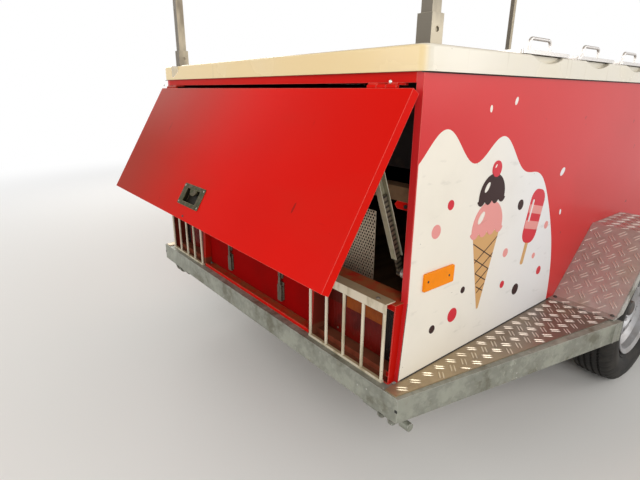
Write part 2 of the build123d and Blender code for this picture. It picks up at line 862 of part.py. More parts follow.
# Side reflectors near the body's rear corners
reflector_length = 122
reflector_height = 48
reflector_from_tail = 180
reflector_above_rail = 261
with BuildPart() as side_reflectors:
    with BuildSketch(Plane.XZ.offset(body_half_width + seat_gap)):
        with Locations((tail_x + reflector_from_tail, rail_top + reflector_above_rail)):
            RectangleRounded(reflector_length, reflector_height, 4)
    extrude(amount=7)
    fillet(side_reflectors.faces().sort_by(Axis.Y)[0].edges(), 2)
    mirror(about=Plane.XZ)
save(side_reflectors.part, "side_reflectors")

# Rear flap: a shallow pan hung from the header, drawn at its open angle.
# In the flap's plane X runs to the left, Y down the flap and Z outwards.
hinge_x = tail_x + hinge_from_tail
hinge_z = floor_to_rail + hinge_height
flap_plane = Plane(origin=(hinge_x, 0, hinge_z), x_dir=(0, 1, 0), z_dir=(-cos(opening), 0, sin(opening)))
flap_middle = flap_drop + flap_length / 2
knuckle = hinge_length / 3
pin_radius = 5


def head_at(swing):
    """Place in X and Z of a stay's head pin with the flap open by an angle in radians."""
    return (
        hinge_x - stay_reach * sin(swing) + stay_stand_off * cos(swing),
        hinge_z - stay_reach * cos(swing) - stay_stand_off * sin(swing),
    )


# each stay's foot pin is on the side panel and its head pin on the flap
foot = (tail_x + stay_foot_from_tail, floor_to_rail + stay_foot_height)
head = head_at(opening)
stay_length = hypot(head[0] - foot[0], head[1] - foot[1])
stay_lean = atan2(foot[0] - head[0], head[1] - foot[1])
latch_width = 150
latch_height = 72
latch_drop = 391
latch_shift = 8
with BuildPart() as flap_panel:
    with BuildSketch(flap_plane.offset(flap_proud - flap_depth)):
        with Locations((0, flap_middle)):
            Rectangle(flap_width, flap_length)
    extrude(amount=flap_depth)
    with BuildSketch(flap_plane.offset(flap_proud - flap_depth)):
        with Locations((0, flap_middle)):
            Rectangle(flap_width - 2 * flap_wall, flap_length - 2 * flap_wall)
    extrude(amount=flap_depth - flap_wall, mode=Mode.SUBTRACT)
    # window for the latch, and the bolt's slot in the bottom return
    with BuildSketch(flap_plane.offset(-flap_depth)):
        with Locations((latch_shift, latch_drop)):
            Rectangle(latch_width - 16, latch_height - 16)
    extrude(amount=2 * flap_depth, mode=Mode.SUBTRACT)
    with BuildSketch(flap_plane.offset(flap_proud - flap_depth + 5)):
        with Locations((latch_shift, flap_drop + flap_length)):
            Rectangle(18, 20)
    extrude(amount=7, mode=Mode.SUBTRACT)
    # stiffening channels behind the skin carry the stays
    for sign in (1, -1):
        with BuildSketch(flap_plane.offset(flap_proud - flap_depth)):
            with Locations((sign * (stay_offset - 26), flap_middle)):
                Rectangle(12, flap_length - 2 * flap_wall)
        extrude(amount=flap_depth - flap_wall)
    # the hinge leaves: a middle knuckle and a strap on the back of the skin
    for middle in (hinge_offset, -hinge_offset):
        with BuildSketch(Plane.XZ.offset(-middle)):
            with Locations((hinge_x, hinge_z)):
                Circle(hinge_barrel)
        extrude(amount=knuckle / 2 - side_play, both=True)
        with BuildSketch(flap_plane.offset(flap_proud - flap_wall - 3)):
            with Locations((middle, 20)):
                Rectangle(knuckle - 2 * side_play, 40)
        extrude(amount=3.5)
        with BuildSketch(Plane.XZ.offset(-middle)):
            with Locations((hinge_x, hinge_z)):
                Circle(hinge_pin + running_gap)
        extrude(amount=hinge_length, both=True, mode=Mode.SUBTRACT)
    # the stays' head pins stand on brackets between the stiffeners and the channels
    for sign in (1, -1):
        bracket_origin = (hinge_x, sign * (stay_offset - 20), hinge_z)
        with BuildSketch(Plane(origin=bracket_origin, x_dir=flap_plane.y_dir, z_dir=(0, -1, 0))):
            with BuildLine():
                Polyline((stay_reach - 20, flap_wall - flap_proud), (stay_reach + 20, flap_wall - flap_proud),
                         (stay_reach + 9, stay_stand_off + 8), (stay_reach - 9, stay_stand_off + 8), close=True)
            make_face()
        extrude(amount=3, both=True)
        with BuildSketch(Plane.XZ.offset(-sign * (stay_offset - 5))):
            with Locations(head):
                Circle(stay_pin)
        extrude(amount=17, both=True)
save(flap_panel.part, "flap_panel")

with BuildPart() as flap_latch:
    with BuildSketch(flap_plane.offset(flap_proud + seat_gap)):
        with Locations((latch_shift, latch_drop)):
            RectangleRounded(latch_width, latch_height, 5)
            Rectangle(latch_width - 58, latch_height - 26, mode=Mode.SUBTRACT)
    extrude(amount=2)
    # the cup behind the plate
    cup_width = latch_width - 52
    cup_height = latch_height - 20
    with BuildSketch(flap_plane.offset(flap_proud - 16)):
        with Locations((latch_shift, latch_drop)):
            Rectangle(cup_width, cup_height)
    extrude(amount=16 + seat_gap)
    with BuildSketch(flap_plane.offset(flap_proud - 13)):
        with Locations((latch_shift, latch_drop)):
            Rectangle(cup_width - 6, cup_height - 6)
    extrude(amount=20, mode=Mode.SUBTRACT)
    # half-round pull lip at the cup's upper edge
    with BuildSketch(flap_plane.offset(flap_proud - 4)):
        with Locations((latch_shift, latch_drop - cup_height / 2)):
            Circle(24)
        with Locations((latch_shift, latch_drop - cup_height)):
            Rectangle(60, cup_height, mode=Mode.SUBTRACT)
    extrude(amount=6)
save(flap_latch.part, "flap_latch")

# Flap hinges: the header's leaf with two knuckles and the pin, and the flap's leaf with one
leaf_z = hinge_z + hinge_barrel - 2
header_bottom = header_top - header_height
with BuildPart() as flap_hinges:
    for middle in (hinge_offset, -hinge_offset):
        for shift in (-knuckle, knuckle):
            with BuildSketch(Plane.XZ.offset(-(middle + shift))):
                with Locations((hinge_x, hinge_z)):
                    Circle(hinge_barrel)
            extrude(amount=knuckle / 2 - 0.5, both=True)
        with BuildSketch(Plane.XZ.offset(-middle)):
            with Locations((hinge_x, hinge_z)):
                Circle(hinge_pin)
        extrude(amount=hinge_length / 2, both=True)
        for shift in (-knuckle, knuckle):
            with BuildSketch(Plane.XY.offset(leaf_z)):
                with Locations(((hinge_x + body_rear_x) / 2 + 6, middle + shift)):
                    Rectangle(body_rear_x - hinge_x + 12, knuckle - 1)
            extrude(amount=header_bottom - seat_gap - leaf_z)
        # the leaf's tail lies against the header's underside
        with BuildSketch(Plane.XY.offset(leaf_z)):
            with Locations((body_rear_x + 8, middle)):
                Rectangle(10, hinge_length)
        extrude(amount=header_bottom - seat_gap - leaf_z)
save(flap_hinges.part, "flap_hinges")

# Stays: a flat rod turns on its foot pin and slides in a channel that hangs from the flap
channel_width = 24
channel_wall = 2
channel_depth = 16
channel_gap = 46
rod_thickness = 6
rod_reach = 216
eye_radius = 11
eye_thickness = 10
hole_pitch = 14
closed_head = head_at(0)
closed_length = hypot(closed_head[0] - foot[0], closed_head[1] - foot[1])
closed_lean = atan2(foot[0] - closed_head[0], closed_head[1] - foot[1])
channel_length = stay_length + eye_radius - channel_gap
# Rod and channel move evenly between their two ends, so the head pin drifts in the channel.
# These are its places there, across and along the channel, and its hole is as wide as they need.
drift_across = [0]
drift_along = [0]
drift_steps = 16
for step in range(1, drift_steps):
    share = step / drift_steps
    pin_x, pin_z = head_at(opening * (1 - share))
    lean = stay_lean + share * (closed_lean - stay_lean)
    reach = stay_length + share * (closed_length - stay_length)
    drift_across.append((pin_x - foot[0]) * cos(lean) + (pin_z - foot[1]) * sin(lean))
    drift_along.append((pin_z - foot[1]) * cos(lean) - (pin_x - foot[0]) * sin(lean) - reach)
for side, sign in sides:
    # in the stay's plane X runs across it and Y up from the foot to the head
    stay_plane = Plane(
        origin=(foot[0], sign * stay_offset, foot[1]),
        x_dir=(cos(stay_lean), 0, sin(stay_lean)),
        z_dir=(0, -1, 0),
    )
    with BuildPart() as stay_rod:
        with BuildSketch(stay_plane):
            Circle(eye_radius)
        extrude(amount=eye_thickness / 2, both=True)
        with BuildSketch(stay_plane):
            with Locations((0, (eye_radius + rod_reach) / 2 - 2)):
                Rectangle(channel_width - 2 * channel_wall - 2, rod_reach - eye_radius + 4)
        extrude(amount=rod_thickness / 2, both=True)
        with BuildSketch(stay_plane):
            Circle(pin_radius + running_gap)
        extrude(amount=channel_depth, both=True, mode=Mode.SUBTRACT)
    save(stay_rod.part, f"stay_rod_{side}")

    with BuildPart() as stay_channel:
        # a channel with its flanges towards the trailer's right
        with BuildSketch(stay_plane.offset(-channel_depth / 2)):
            with Locations((0, channel_gap + channel_length / 2)):
                Rectangle(channel_width, channel_length)
        extrude(amount=channel_depth)
        with BuildSketch(stay_plane.offset(-channel_depth / 2 + channel_wall)):
            with Locations((0, channel_gap + channel_length / 2)):
                Rectangle(channel_width - 2 * channel_wall, channel_length)
        extrude(amount=channel_depth, mode=Mode.SUBTRACT)
        # the row of holes in the channel's back, and the head pin's hole above them
        hole_rows = int((channel_length - 64) / hole_pitch)
        with BuildSketch(stay_plane.offset(-channel_depth)):
            with Locations([(0, channel_gap + 20 + row * hole_pitch) for row in range(hole_rows)]):
                Circle(3)
            with Locations(((min(drift_across) + max(drift_across)) / 2,
                            stay_length + (min(drift_along) + max(drift_along)) / 2)):
                RectangleRounded(max(drift_across) - min(drift_across) + 2 * (stay_pin + seat_gap),
                                 max(drift_along) - min(drift_along) + 2 * (stay_pin + seat_gap), stay_pin)
        extrude(amount=channel_depth, mode=Mode.SUBTRACT)
    save(stay_channel.part, f"stay_channel_{side}")

# Pins for the stays' feet, on the side panels
with BuildPart() as stay_foot_pins:
    # out to the panel: start, stop and radius of the pin and of its flange
    for start, stop, radius in (
        (stay_offset - eye_thickness / 2 - 2, inner_half - seat_gap, pin_radius),
        (stay_offset + channel_depth / 2 + 1, inner_half - seat_gap, 13),
    ):
        with BuildSketch(Plane.XZ.offset(start)):
            with Locations(foot):
                Circle(radius)
        extrude(amount=stop - start)
    mirror(about=Plane.XZ)
save(stay_foot_pins.part, "stay_foot_pins")

# A batten crosses the machine room on angle brackets behind the stays
batten_x = tail_x + batten_from_tail
batten_z = floor_to_rail + batten_height
bracket_length = 62
bracket_leaf = 20
bracket_wall = 3
with BuildPart() as cross_batten:
    with BuildSketch(Plane.XY.offset(batten_z)):
        with Locations((batten_x + batten_width / 2, 0)):
            Rectangle(batten_width, 2 * board_half)
    extrude(amount=batten_depth)
save(cross_batten.part, "cross_batten")

with BuildPart() as batten_brackets:
    with BuildSketch(Plane.YZ.offset(batten_x)):
        with BuildLine():
            Polyline(
                (board_half, batten_z - seat_gap),
                (board_half - bracket_length, batten_z - seat_gap),
                (board_half - bracket_length - 8, batten_z - bracket_leaf / 2),
                (board_half - bracket_length, batten_z - bracket_leaf),
                (board_half, batten_z - bracket_leaf),
                close=True,
            )
        make_face()
    extrude(amount=bracket_wall)
    with BuildSketch(Plane.XY.offset(batten_z - seat_gap - bracket_wall)):
        with Locations((batten_x + batten_width / 2, board_half - bracket_length / 2)):
            Rectangle(batten_width, bracket_length)
    extrude(amount=bracket_wall)
    with BuildSketch(Plane.XZ.offset(-board_half)):
        with Locations((batten_x + batten_width / 2, batten_z - seat_gap - bracket_leaf)):
            Rectangle(batten_width, 2 * bracket_leaf)
    extrude(amount=bracket_wall)
    # bolt heads on the rear leaf
    with BuildSketch(Plane.YZ.offset(batten_x - 4)):
        with Locations([(board_half - shift, batten_z - bracket_leaf / 2) for shift in (20, 32)]):
            RegularPolygon(4.5, 6)
    extrude(amount=4)
    mirror(about=Plane.XZ)
save(batten_brackets.part, "batten_brackets")

# Machine room: the cooling unit as one block, and its perforated cover
unit_rear = tail_x + 215
unit_length = 300
unit_width = 420
unit_height = 260
vent_width = 992
vent_height = 380
vent_shift = 4
vent_foot = 38
with BuildPart() as compressor:
    with BuildSketch(Plane.XY.offset(floor_top)):
        with Locations((unit_rear + unit_length / 2, 60)):
            Rectangle(unit_length, unit_width)
    extrude(amount=unit_height)
save(compressor.part, "compressor")

with BuildPart() as vent_panel:
    with BuildSketch(Plane.YZ.offset(unit_rear - 16)):
        with Locations((vent_shift, floor_top + vent_height / 2)):
            Rectangle(vent_width, vent_height)
    extrude(amount=2)
    with BuildSketch(Plane.XY.offset(floor_top)):
        with Locations((unit_rear - 14 - vent_foot / 2, vent_shift)):
            Rectangle(vent_foot, vent_width)
    extrude(amount=2)
save(vent_panel.part, "vent_panel")

# Worktop: a moulded tray with a deep rim, wells for the lids and hand scoops in its edge
work_half = body_half_width + worktop_overhang
work_length = body_length + 2 * worktop_overhang
lid_edge_inner = lid_edge - lid_depth
well_length = lid_length - 44
well_outer = lid_edge - 44
well_inner = lid_edge_inner + 40
lid_stations = [tail_x + lid_first + index * lid_pitch for index in range(lid_count)]
with BuildPart() as worktop:
    with BuildSketch(Plane.XY.offset(worktop_z)):
        with Locations((body_mid_x, 0)):
            RectangleRounded(work_length, 2 * work_half, worktop_corner)
    extrude(amount=worktop_height)
    fillet(worktop.faces().sort_by(Axis.Z)[-1].edges(), 7)
    with BuildSketch(Plane.XY.offset(worktop_z)):
        with Locations((body_mid_x, 0)):
            Rectangle(work_length - 2 * worktop_rim, 2 * (work_half - worktop_rim))
    extrude(amount=worktop_height - worktop_skin, mode=Mode.SUBTRACT)
    # one well under each lid on the vendor's side
    with BuildSketch(Plane.XY.offset(worktop_z)):
        with Locations([(x, -(well_outer + well_inner) / 2) for x in lid_stations]):
            RectangleRounded(well_length, well_outer - well_inner, 18)
    extrude(amount=worktop_height, mode=Mode.SUBTRACT)
    # a scoop is a shallow arc of this radius cut into the edge below each handle
    scoop_radius = (scoop_width**2 / 4 + scoop_depth**2) / (2 * scoop_depth)
    with BuildSketch(Plane.XZ.offset(work_half - 16)):
        with Locations([(x, worktop_top - scoop_depth + scoop_radius) for x in lid_stations]):
            Circle(scoop_radius)
    extrude(amount=40, mode=Mode.SUBTRACT)
    # a notch beside the rear left corner, which rises in a curve away from it
    with BuildSketch(Plane.YZ.offset(body_rear_x - worktop_overhang)):
        with BuildLine():
            Polyline((notch_outer - notch_length, worktop_top + 1), (notch_outer + 4, worktop_top + 1),
                     (notch_outer, worktop_top - notch_depth), (notch_outer - 14, worktop_top - notch_depth))
            ThreePointArc((notch_outer - 14, worktop_top - notch_depth),
                          (notch_outer - 0.62 * notch_length, worktop_top - 0.52 * notch_depth),
                          (notch_outer - notch_length, worktop_top + 1))
        make_face()
    extrude(amount=notch_reach, mode=Mode.SUBTRACT)
save(worktop.part, "worktop")

# Cold tub below the wells
tub_top = worktop_top - worktop_skin - seat_gap
tub_wall = 3
tub_start = lid_stations[0] - lid_length / 2
tub_stop = lid_stations[-1] + lid_length / 2
tub_inner = lid_edge_inner + 20
tub_outer = inner_half - 12
with BuildPart() as tub_liner:
    for depth, shrink, mode in ((tub_depth, 0, Mode.ADD), (tub_depth - tub_wall, tub_wall, Mode.SUBTRACT)):
        with BuildSketch(Plane.XY.offset(tub_top - depth)):
            with Locations(((tub_start + tub_stop) / 2, -(tub_inner + tub_outer) / 2)):
                Rectangle(tub_stop - tub_start - 2 * shrink, tub_outer - tub_inner - 2 * shrink)
        extrude(amount=depth, mode=mode)
save(tub_liner.part, "tub_liner")

# Lids: a shallow tray with an arch handle at the front, hinged at the back
lid_bottom = worktop_top + seat_gap + 1
lid_top = lid_bottom + lid_height
lid_hinge_z = lid_bottom + lid_height / 2
lid_hinge_y = -(lid_edge_inner - 9)
lid_pin = 3
with BuildPart() as lid_hinges:
    for x in lid_stations:
        for shift in (-lid_hinge_spread, lid_hinge_spread):
            with BuildSketch(Plane.XY.offset(worktop_top + seat_gap)):
                with Locations((x + shift, lid_hinge_y + 6)):
                    Rectangle(18, 26)
            extrude(amount=3)
            with BuildSketch(Plane.YZ.offset(x + shift - 6)):
                with Locations((lid_hinge_y, lid_hinge_z)):
                    Circle(6)
                with Locations((lid_hinge_y, worktop_top + seat_gap + 3)):
                    Rectangle(10, 5)
            extrude(amount=12)
        with BuildSketch(Plane.YZ.offset(x - lid_hinge_spread)):
            with Locations((lid_hinge_y, lid_hinge_z)):
                Circle(lid_pin)
        extrude(amount=2 * lid_hinge_spread)
save(lid_hinges.part, "lid_hinges")

for index, x in enumerate(lid_stations):
    with BuildPart() as lid:
        with BuildSketch(Plane.XY.offset(lid_bottom)):
            with Locations((x, -(lid_edge + lid_edge_inner) / 2)):
                RectangleRounded(lid_length, lid_depth, 8)
        extrude(amount=lid_height)
        with BuildSketch(Plane.XY.offset(lid_bottom)):
            with Locations((x, -(lid_edge + lid_edge_inner) / 2)):
                RectangleRounded(lid_length - 4, lid_depth - 4, 6)
        extrude(amount=lid_height - 2, mode=Mode.SUBTRACT)
        # the knuckle turns on the worktop's pin
        with BuildSketch(Plane.YZ.offset(x - 45)):
            with Locations((lid_hinge_y, lid_hinge_z)):
                Circle(5)
            with Locations((lid_hinge_y - 5, lid_hinge_z)):
                Rectangle(10, 4)
            with Locations((lid_hinge_y, lid_hinge_z)):
                Circle(lid_pin + running_gap, mode=Mode.SUBTRACT)
        extrude(amount=90)
        # arch handle of bent rod
        bend = 14
        half_span = handle_span / 2
        grip_y = -(lid_edge - 26)
        with BuildLine() as arch:
            FilletPolyline(
                (x - half_span, grip_y, lid_top - 1),
                (x - half_span, grip_y, lid_top + handle_rise),
                (x + half_span, grip_y, lid_top + handle_rise),
                (x + half_span, grip_y, lid_top - 1),
                radius=bend,
            )
        with BuildSketch(Plane(origin=(x - half_span, grip_y, lid_top - 1), z_dir=(0, 0, 1))):
            Circle(handle_rod / 2)
        sweep(path=arch.line)
    save(lid.part, f"lid_{index + 1}")

# Canopy: sockets and posts at the worktop's corners, a tube frame and a cloth cover
post_xs = (tail_x + post_from_tail, nose_x - post_from_tail)
post_places = [(x, y) for x in post_xs for y in (post_offset, -post_offset)]
socket_base = worktop_top + seat_gap
with BuildPart() as post_sockets:
    with BuildSketch(Plane.XY.offset(socket_base)):
        with Locations(post_places):
            Rectangle(socket_size, socket_size)
            Rectangle(post_size + 2 * seat_gap, post_size + 2 * seat_gap, mode=Mode.SUBTRACT)
    extrude(amount=socket_height)
    # the pin hole through each socket's two side walls
    with BuildSketch(Plane.XZ):
        with Locations([(x, socket_base + socket_height / 2) for x in post_xs]):
            Circle(6)
    extrude(amount=2 * work_half, both=True, mode=Mode.SUBTRACT)
save(post_sockets.part, "post_sockets")

ring_tube = 25
eave_z = canopy_height
with BuildPart() as canopy_frame:
    with BuildSketch(Plane.XY.offset(socket_base)):
        with Locations(post_places):
            Rectangle(post_size, post_size)
    extrude(amount=eave_z - socket_base)
    eave_length = chassis_length + 2 * canopy_overhang - 2 * post_from_tail
    eave_width = 2 * (post_offset + canopy_overhang)
    with BuildSketch(Plane.XY.offset(eave_z - ring_tube)):
        with Locations((body_mid_x, 0)):
            Rectangle(eave_length, eave_width)
            Rectangle(eave_length - 2 * ring_tube, eave_width - 2 * ring_tube, mode=Mode.SUBTRACT)
        # rails from post to post, out to the ring
        with Locations((post_xs[0], 0), (post_xs[1], 0)):
            Rectangle(ring_tube, eave_width)
        with Locations((body_mid_x, post_offset), (body_mid_x, -post_offset)):
            Rectangle(eave_length, ring_tube)
    extrude(amount=ring_tube)
    # ridge bows over the posts and over the middle
    with BuildSketch(Plane.YZ.offset(post_xs[0] - ring_tube / 2)) as bow:
        with BuildLine():
            bow_half = eave_width / 2
            ThreePointArc((-bow_half, eave_z), (0, eave_z + canopy_rise), (bow_half, eave_z))
            ThreePointArc((-bow_half + ring_tube, eave_z), (0, eave_z + canopy_rise - ring_tube),
                          (bow_half - ring_tube, eave_z))
            Line((-bow_half, eave_z), (-bow_half + ring_tube, eave_z))
            Line((bow_half, eave_z), (bow_half - ring_tube, eave_z))
        make_face()
    extrude(amount=ring_tube)
    for station in (body_mid_x, post_xs[1]):
        with BuildSketch(Plane.YZ.offset(station - ring_tube / 2)):
            add(bow.sketch_local)
        extrude(amount=ring_tube)
save(canopy_frame.part, "canopy_frame")

cover_gap = seat_gap
with BuildPart() as canopy_cover:
    cover_length = eave_length + 2 * (cover_gap + canopy_skin)
    cover_half = eave_width / 2 + cover_gap + canopy_skin
    cover_base = eave_z - canopy_valance
    for shrink, drop, mode in ((0, 0, Mode.ADD), (canopy_skin, 1, Mode.SUBTRACT)):
        with BuildSketch(Plane.YZ.offset(body_mid_x - cover_length / 2 + shrink)):
            with BuildLine():
                half = cover_half - shrink
                crown = eave_z + canopy_rise + cover_gap + canopy_skin - shrink
                eave = eave_z + cover_gap + canopy_skin - shrink
                Polyline((-half, eave), (-half, cover_base - drop), (half, cover_base - drop), (half, eave))
                ThreePointArc((-half, eave), (0, crown), (half, eave))
            make_face()
        extrude(amount=cover_length - 2 * shrink, mode=mode)
save(canopy_cover.part, "canopy_cover")
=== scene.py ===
"""Looks of a towed ice cream vending trailer, built around its fixed frame, in metres.

Each operator finishes or adds one group of pieces, and main() calls them in order. X points
forward, Y to the trailer's left and Z up, and places come from the frame's own boxes.
"""

import json
import math

import bmesh
import bpy
import numpy as np
from bpy.props import FloatProperty, FloatVectorProperty, IntProperty, PointerProperty
from mathutils import Matrix, Vector


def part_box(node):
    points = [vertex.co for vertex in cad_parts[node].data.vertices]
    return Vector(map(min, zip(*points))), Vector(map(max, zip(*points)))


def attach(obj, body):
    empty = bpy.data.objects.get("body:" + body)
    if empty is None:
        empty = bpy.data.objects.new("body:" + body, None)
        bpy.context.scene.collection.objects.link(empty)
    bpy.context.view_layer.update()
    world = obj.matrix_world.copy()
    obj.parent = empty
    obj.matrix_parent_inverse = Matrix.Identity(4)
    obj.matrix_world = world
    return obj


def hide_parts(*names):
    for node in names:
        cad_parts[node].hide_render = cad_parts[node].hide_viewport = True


bl_info = {
    "name": "Vending Trailer",
    "version": (1, 0, 0),
    "blender": (4, 5, 0),
    "location": "3D View > Sidebar > Trailer",
    "description": "Finishes and fittings of a towed ice cream vending trailer",
    "category": "Object",
}

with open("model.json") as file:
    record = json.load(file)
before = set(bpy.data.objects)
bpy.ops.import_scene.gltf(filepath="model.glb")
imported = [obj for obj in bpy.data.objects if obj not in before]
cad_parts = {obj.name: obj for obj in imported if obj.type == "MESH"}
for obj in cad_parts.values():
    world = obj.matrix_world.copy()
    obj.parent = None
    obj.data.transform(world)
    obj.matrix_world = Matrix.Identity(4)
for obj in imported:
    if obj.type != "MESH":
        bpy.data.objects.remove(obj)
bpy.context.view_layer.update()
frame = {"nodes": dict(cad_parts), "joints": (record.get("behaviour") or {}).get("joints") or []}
NODES = frame["nodes"]


def low(node):
    """Lowest corner of a node's box."""
    return np.array(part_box(node)[0])


def high(node):
    """Highest corner of a node's box."""
    return np.array(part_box(node)[1])


def joint_place(name):
    """Point on a joint's axis."""
    for joint in frame["joints"]:
        if joint["name"] == name:
            return np.array(joint["pos_m"], float)
    raise ValueError(f"no joint named {name}")


# Places that several pieces share
TAIL = low("chassis_frame")[0]
RAIL_LOW = low("chassis_frame")[2]
DECK = high("platforms")[2]
SIDE = high("side_panel_left")[1]
BODY_FRONT = high("side_panel_left")[0]
PANEL_LOW = low("side_panel_left")[2]
PANEL_TOP = high("side_panel_left")[2]
EAVE = high("canopy_frame")[2] - 0.107
LAMP_BOX_MIDDLE = (low("lamp_boxes") + high("lamp_boxes")) / 2 + (0.0, 0.54, 0.0)
WHEEL = joint_place("wheel_left_roll")
HINGE = joint_place("flap_swing")
FLAP_OPEN = math.radians(31.1)
FLAP_PROUD = 0.004
LATCH_DOWN = 0.391
KEYHOLE_DOWN = 0.459
STAY_LEAN = math.radians(20.7)
STAY_PLANE = 0.665
NOTCH_PITCH = 0.0130
LENS_RIM = 0.618
LENS_FLUTE = 0.007
SHEET = 0.0012
THREAD = 0.0016
PLATE = 0.003
FENDER_RUN = 0.238
FENDER_TAB = 0.040
FENDER_WIDTH = 0.212
SIDES = ((1, "left"), (-1, "right"))
BOTH = (-1, 1)
REARWARD = (-1, 0, 0)


# Mesh tools

class Shape:
    """Points and faces gathered from several surfaces."""

    def __init__(self):
        self.points = []
        self.faces = []
        self.count = 0

    def add(self, points, faces):
        """Add points, N x 3, and faces, an array or list of index rows."""
        points = np.asarray(points, float).reshape(-1, 3)
        rows = faces.tolist() if isinstance(faces, np.ndarray) else faces
        self.faces.extend([[index + self.count for index in row] for row in rows])
        self.points.append(points)
        self.count += len(points)


def grid_faces(rows, columns, wrap_rows=False, wrap_columns=False):
    """Quads of a grid of rows x columns points; a wrapped direction closes on itself."""
    row = np.arange(rows if wrap_rows else rows - 1)
    column = np.arange(columns if wrap_columns else columns - 1)
    row, column = np.meshgrid(row, column, indexing="ij")
    next_row = (row + 1) % rows
    next_column = (column + 1) % columns
    corners = (row * columns + column, row * columns + next_column,
               next_row * columns + next_column, next_row * columns + column)
    return np.stack(corners, -1).reshape(-1, 4)


def arc_points(radius, angle):
    """Points on a circle about the origin, at given angles."""
    return radius * np.column_stack((np.cos(angle), np.sin(angle)))


def lathe(profile, steps):
    """Solid of a profile of (radius, height) rows turned about local Z, closed at both ends.

    A point is (radius cos a, radius sin a, height); each end row closes in a fan at its height.
    """
    profile = np.asarray(profile, float)
    around = np.arange(steps)
    rings = [np.column_stack((arc_points(radius, around * 2 * np.pi / steps), np.full(steps, height)))
             for radius, height in profile]
    faces = grid_faces(len(profile), steps, wrap_columns=True).tolist()
    ends = ((0, 0, profile[0, 1]), (0, 0, profile[-1, 1]))
    after = (around + 1) % steps
    top = (len(profile) - 1) * steps
    start = np.full(steps, len(profile) * steps)
    faces += np.stack((start, after, around), -1).tolist()
    faces += np.stack((start + 1, top + around, top + after), -1).tolist()
    return np.vstack((*rings, ends)), faces


def stamp(shape, template, origins, axes):
    """Copy a template (points, faces) to each origin, its X, Y, Z along that row of axes.

    A copy's point is origin + x * axis 0 + y * axis 1 + z * axis 2.
    """
    points, faces = template
    origins = np.atleast_2d(np.asarray(origins, float))
    axes = np.broadcast_to(np.asarray(axes, float), (len(origins), 3, 3))
    placed = origins[:, None, :] + np.einsum("pk,nkj->npj", np.asarray(points, float), axes)
    for copy in placed:
        shape.add(copy, faces)


def prism(outline, thickness):
    """Template of a flat outline in local X, Y, from Z = 0 up to a thickness."""
    outline = np.asarray(outline, float)
    count = len(outline)
    around = np.arange(count)
    after = (around + 1) % count
    faces = np.stack((around, after, after + count, around + count), -1).tolist()
    faces += [around[::-1].tolist(), (around + count).tolist()]
    height = np.repeat((0.0, thickness), count)
    return np.column_stack((np.tile(outline, (2, 1)), height)), faces


def rounded(width, height, radius, steps=4):
    """Outline of a rectangle with round corners, each corner an arc of a few points."""
    turn = np.linspace(0, np.pi / 2, steps + 1)
    corners = []
    for quarter, signs in enumerate(((1, 1), (-1, 1), (-1, -1), (1, -1))):
        centre = np.array(signs) * (width / 2 - radius, height / 2 - radius)
        corners.append(arc_points(radius, turn + quarter * np.pi / 2) + centre)
    return np.vstack(corners)


def disc(radius, steps=16):
    """Outline of a circle."""
    return arc_points(radius, np.arange(steps) * 2 * np.pi / steps)


def turned(outline, angle, centre):
    """An outline turned about the origin and moved to a centre."""
    cosine = math.cos(angle)
    sine = math.sin(angle)
    return np.asarray(outline, float) @ np.array(((cosine, sine), (-sine, cosine))) + centre


def dome(radius, height, steps=12):
    """Template of a rivet head: a base, then a quarter of an ellipse up to the top."""
    turn = np.linspace(0, np.pi / 2 * 0.94, 4)
    return lathe([(radius, -0.0005)] + [(radius * math.cos(a), height * math.sin(a)) for a in turn], steps)


def hexagon_head(radius, height):
    """Template of a bolt head: six sides with a chamfered top, on a round flange."""
    both = Shape()
    flange = ((1.25 * radius, -0.0005), (1.25 * radius, 0.2 * height), (1.1 * radius, 0.28 * height))
    both.add(*lathe(flange, 16))
    both.add(*lathe(((radius, 0), (radius, 0.85 * height), (0.82 * radius, height)), 6))
    return np.concatenate(both.points), both.faces


def outward(direction):
    """Three axes whose third points along a direction."""
    out = np.asarray(direction, float) / np.linalg.norm(direction)
    first = np.cross(np.eye(3)[int(np.argmin(np.abs(out)))], out)
    first /= np.linalg.norm(first)
    return np.array((first, np.cross(out, first), out))


def build(shape, name, look, body="trailer", smooth=None, replaces=(), closed=True):
    """Make a mesh object of a shape, give it a finish and let it ride on a body."""
    mesh = bpy.data.meshes.new(name)
    mesh.from_pydata(np.concatenate(shape.points).tolist(), [], shape.faces)
    mesh.validate()
    if closed:
        work = bmesh.new()
        work.from_mesh(mesh)
        bmesh.ops.recalc_face_normals(work, faces=work.faces)
        work.to_mesh(mesh)
        work.free()
    if smooth is not None:
        mesh.shade_smooth()
        mesh.set_sharp_from_angle(angle=math.radians(smooth))
    mesh.materials.append(FINISHES[look])
    piece = bpy.data.objects.new(name, mesh)
    bpy.context.scene.collection.objects.link(piece)
    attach(piece, body)
    if replaces:
        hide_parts(*replaces)
    return piece


def weld(piece, distance):
    """Merge points that lie together, and turn all faces outwards."""
    work = bmesh.new()
    work.from_mesh(piece.data)
    bmesh.ops.remove_doubles(work, verts=work.verts, dist=distance)
    bmesh.ops.recalc_face_normals(work, faces=work.faces)
    top = max(work.faces, key=lambda face: face.calc_center_median().z)
    if top.normal.z < 0:
        bmesh.ops.reverse_faces(work, faces=work.faces)
    work.to_mesh(piece.data)
    work.free()


def thicken(piece):
    """Give a sheet its thickness, inwards."""
    thick = piece.modifiers.new("thickness", "SOLIDIFY")
    thick.thickness = SHEET
    thick.offset = -1


# Material tools

FINISHES = {}


def shade(colour, share):
    """A colour made darker or lighter by a share."""
    return tuple(share * value for value in colour)


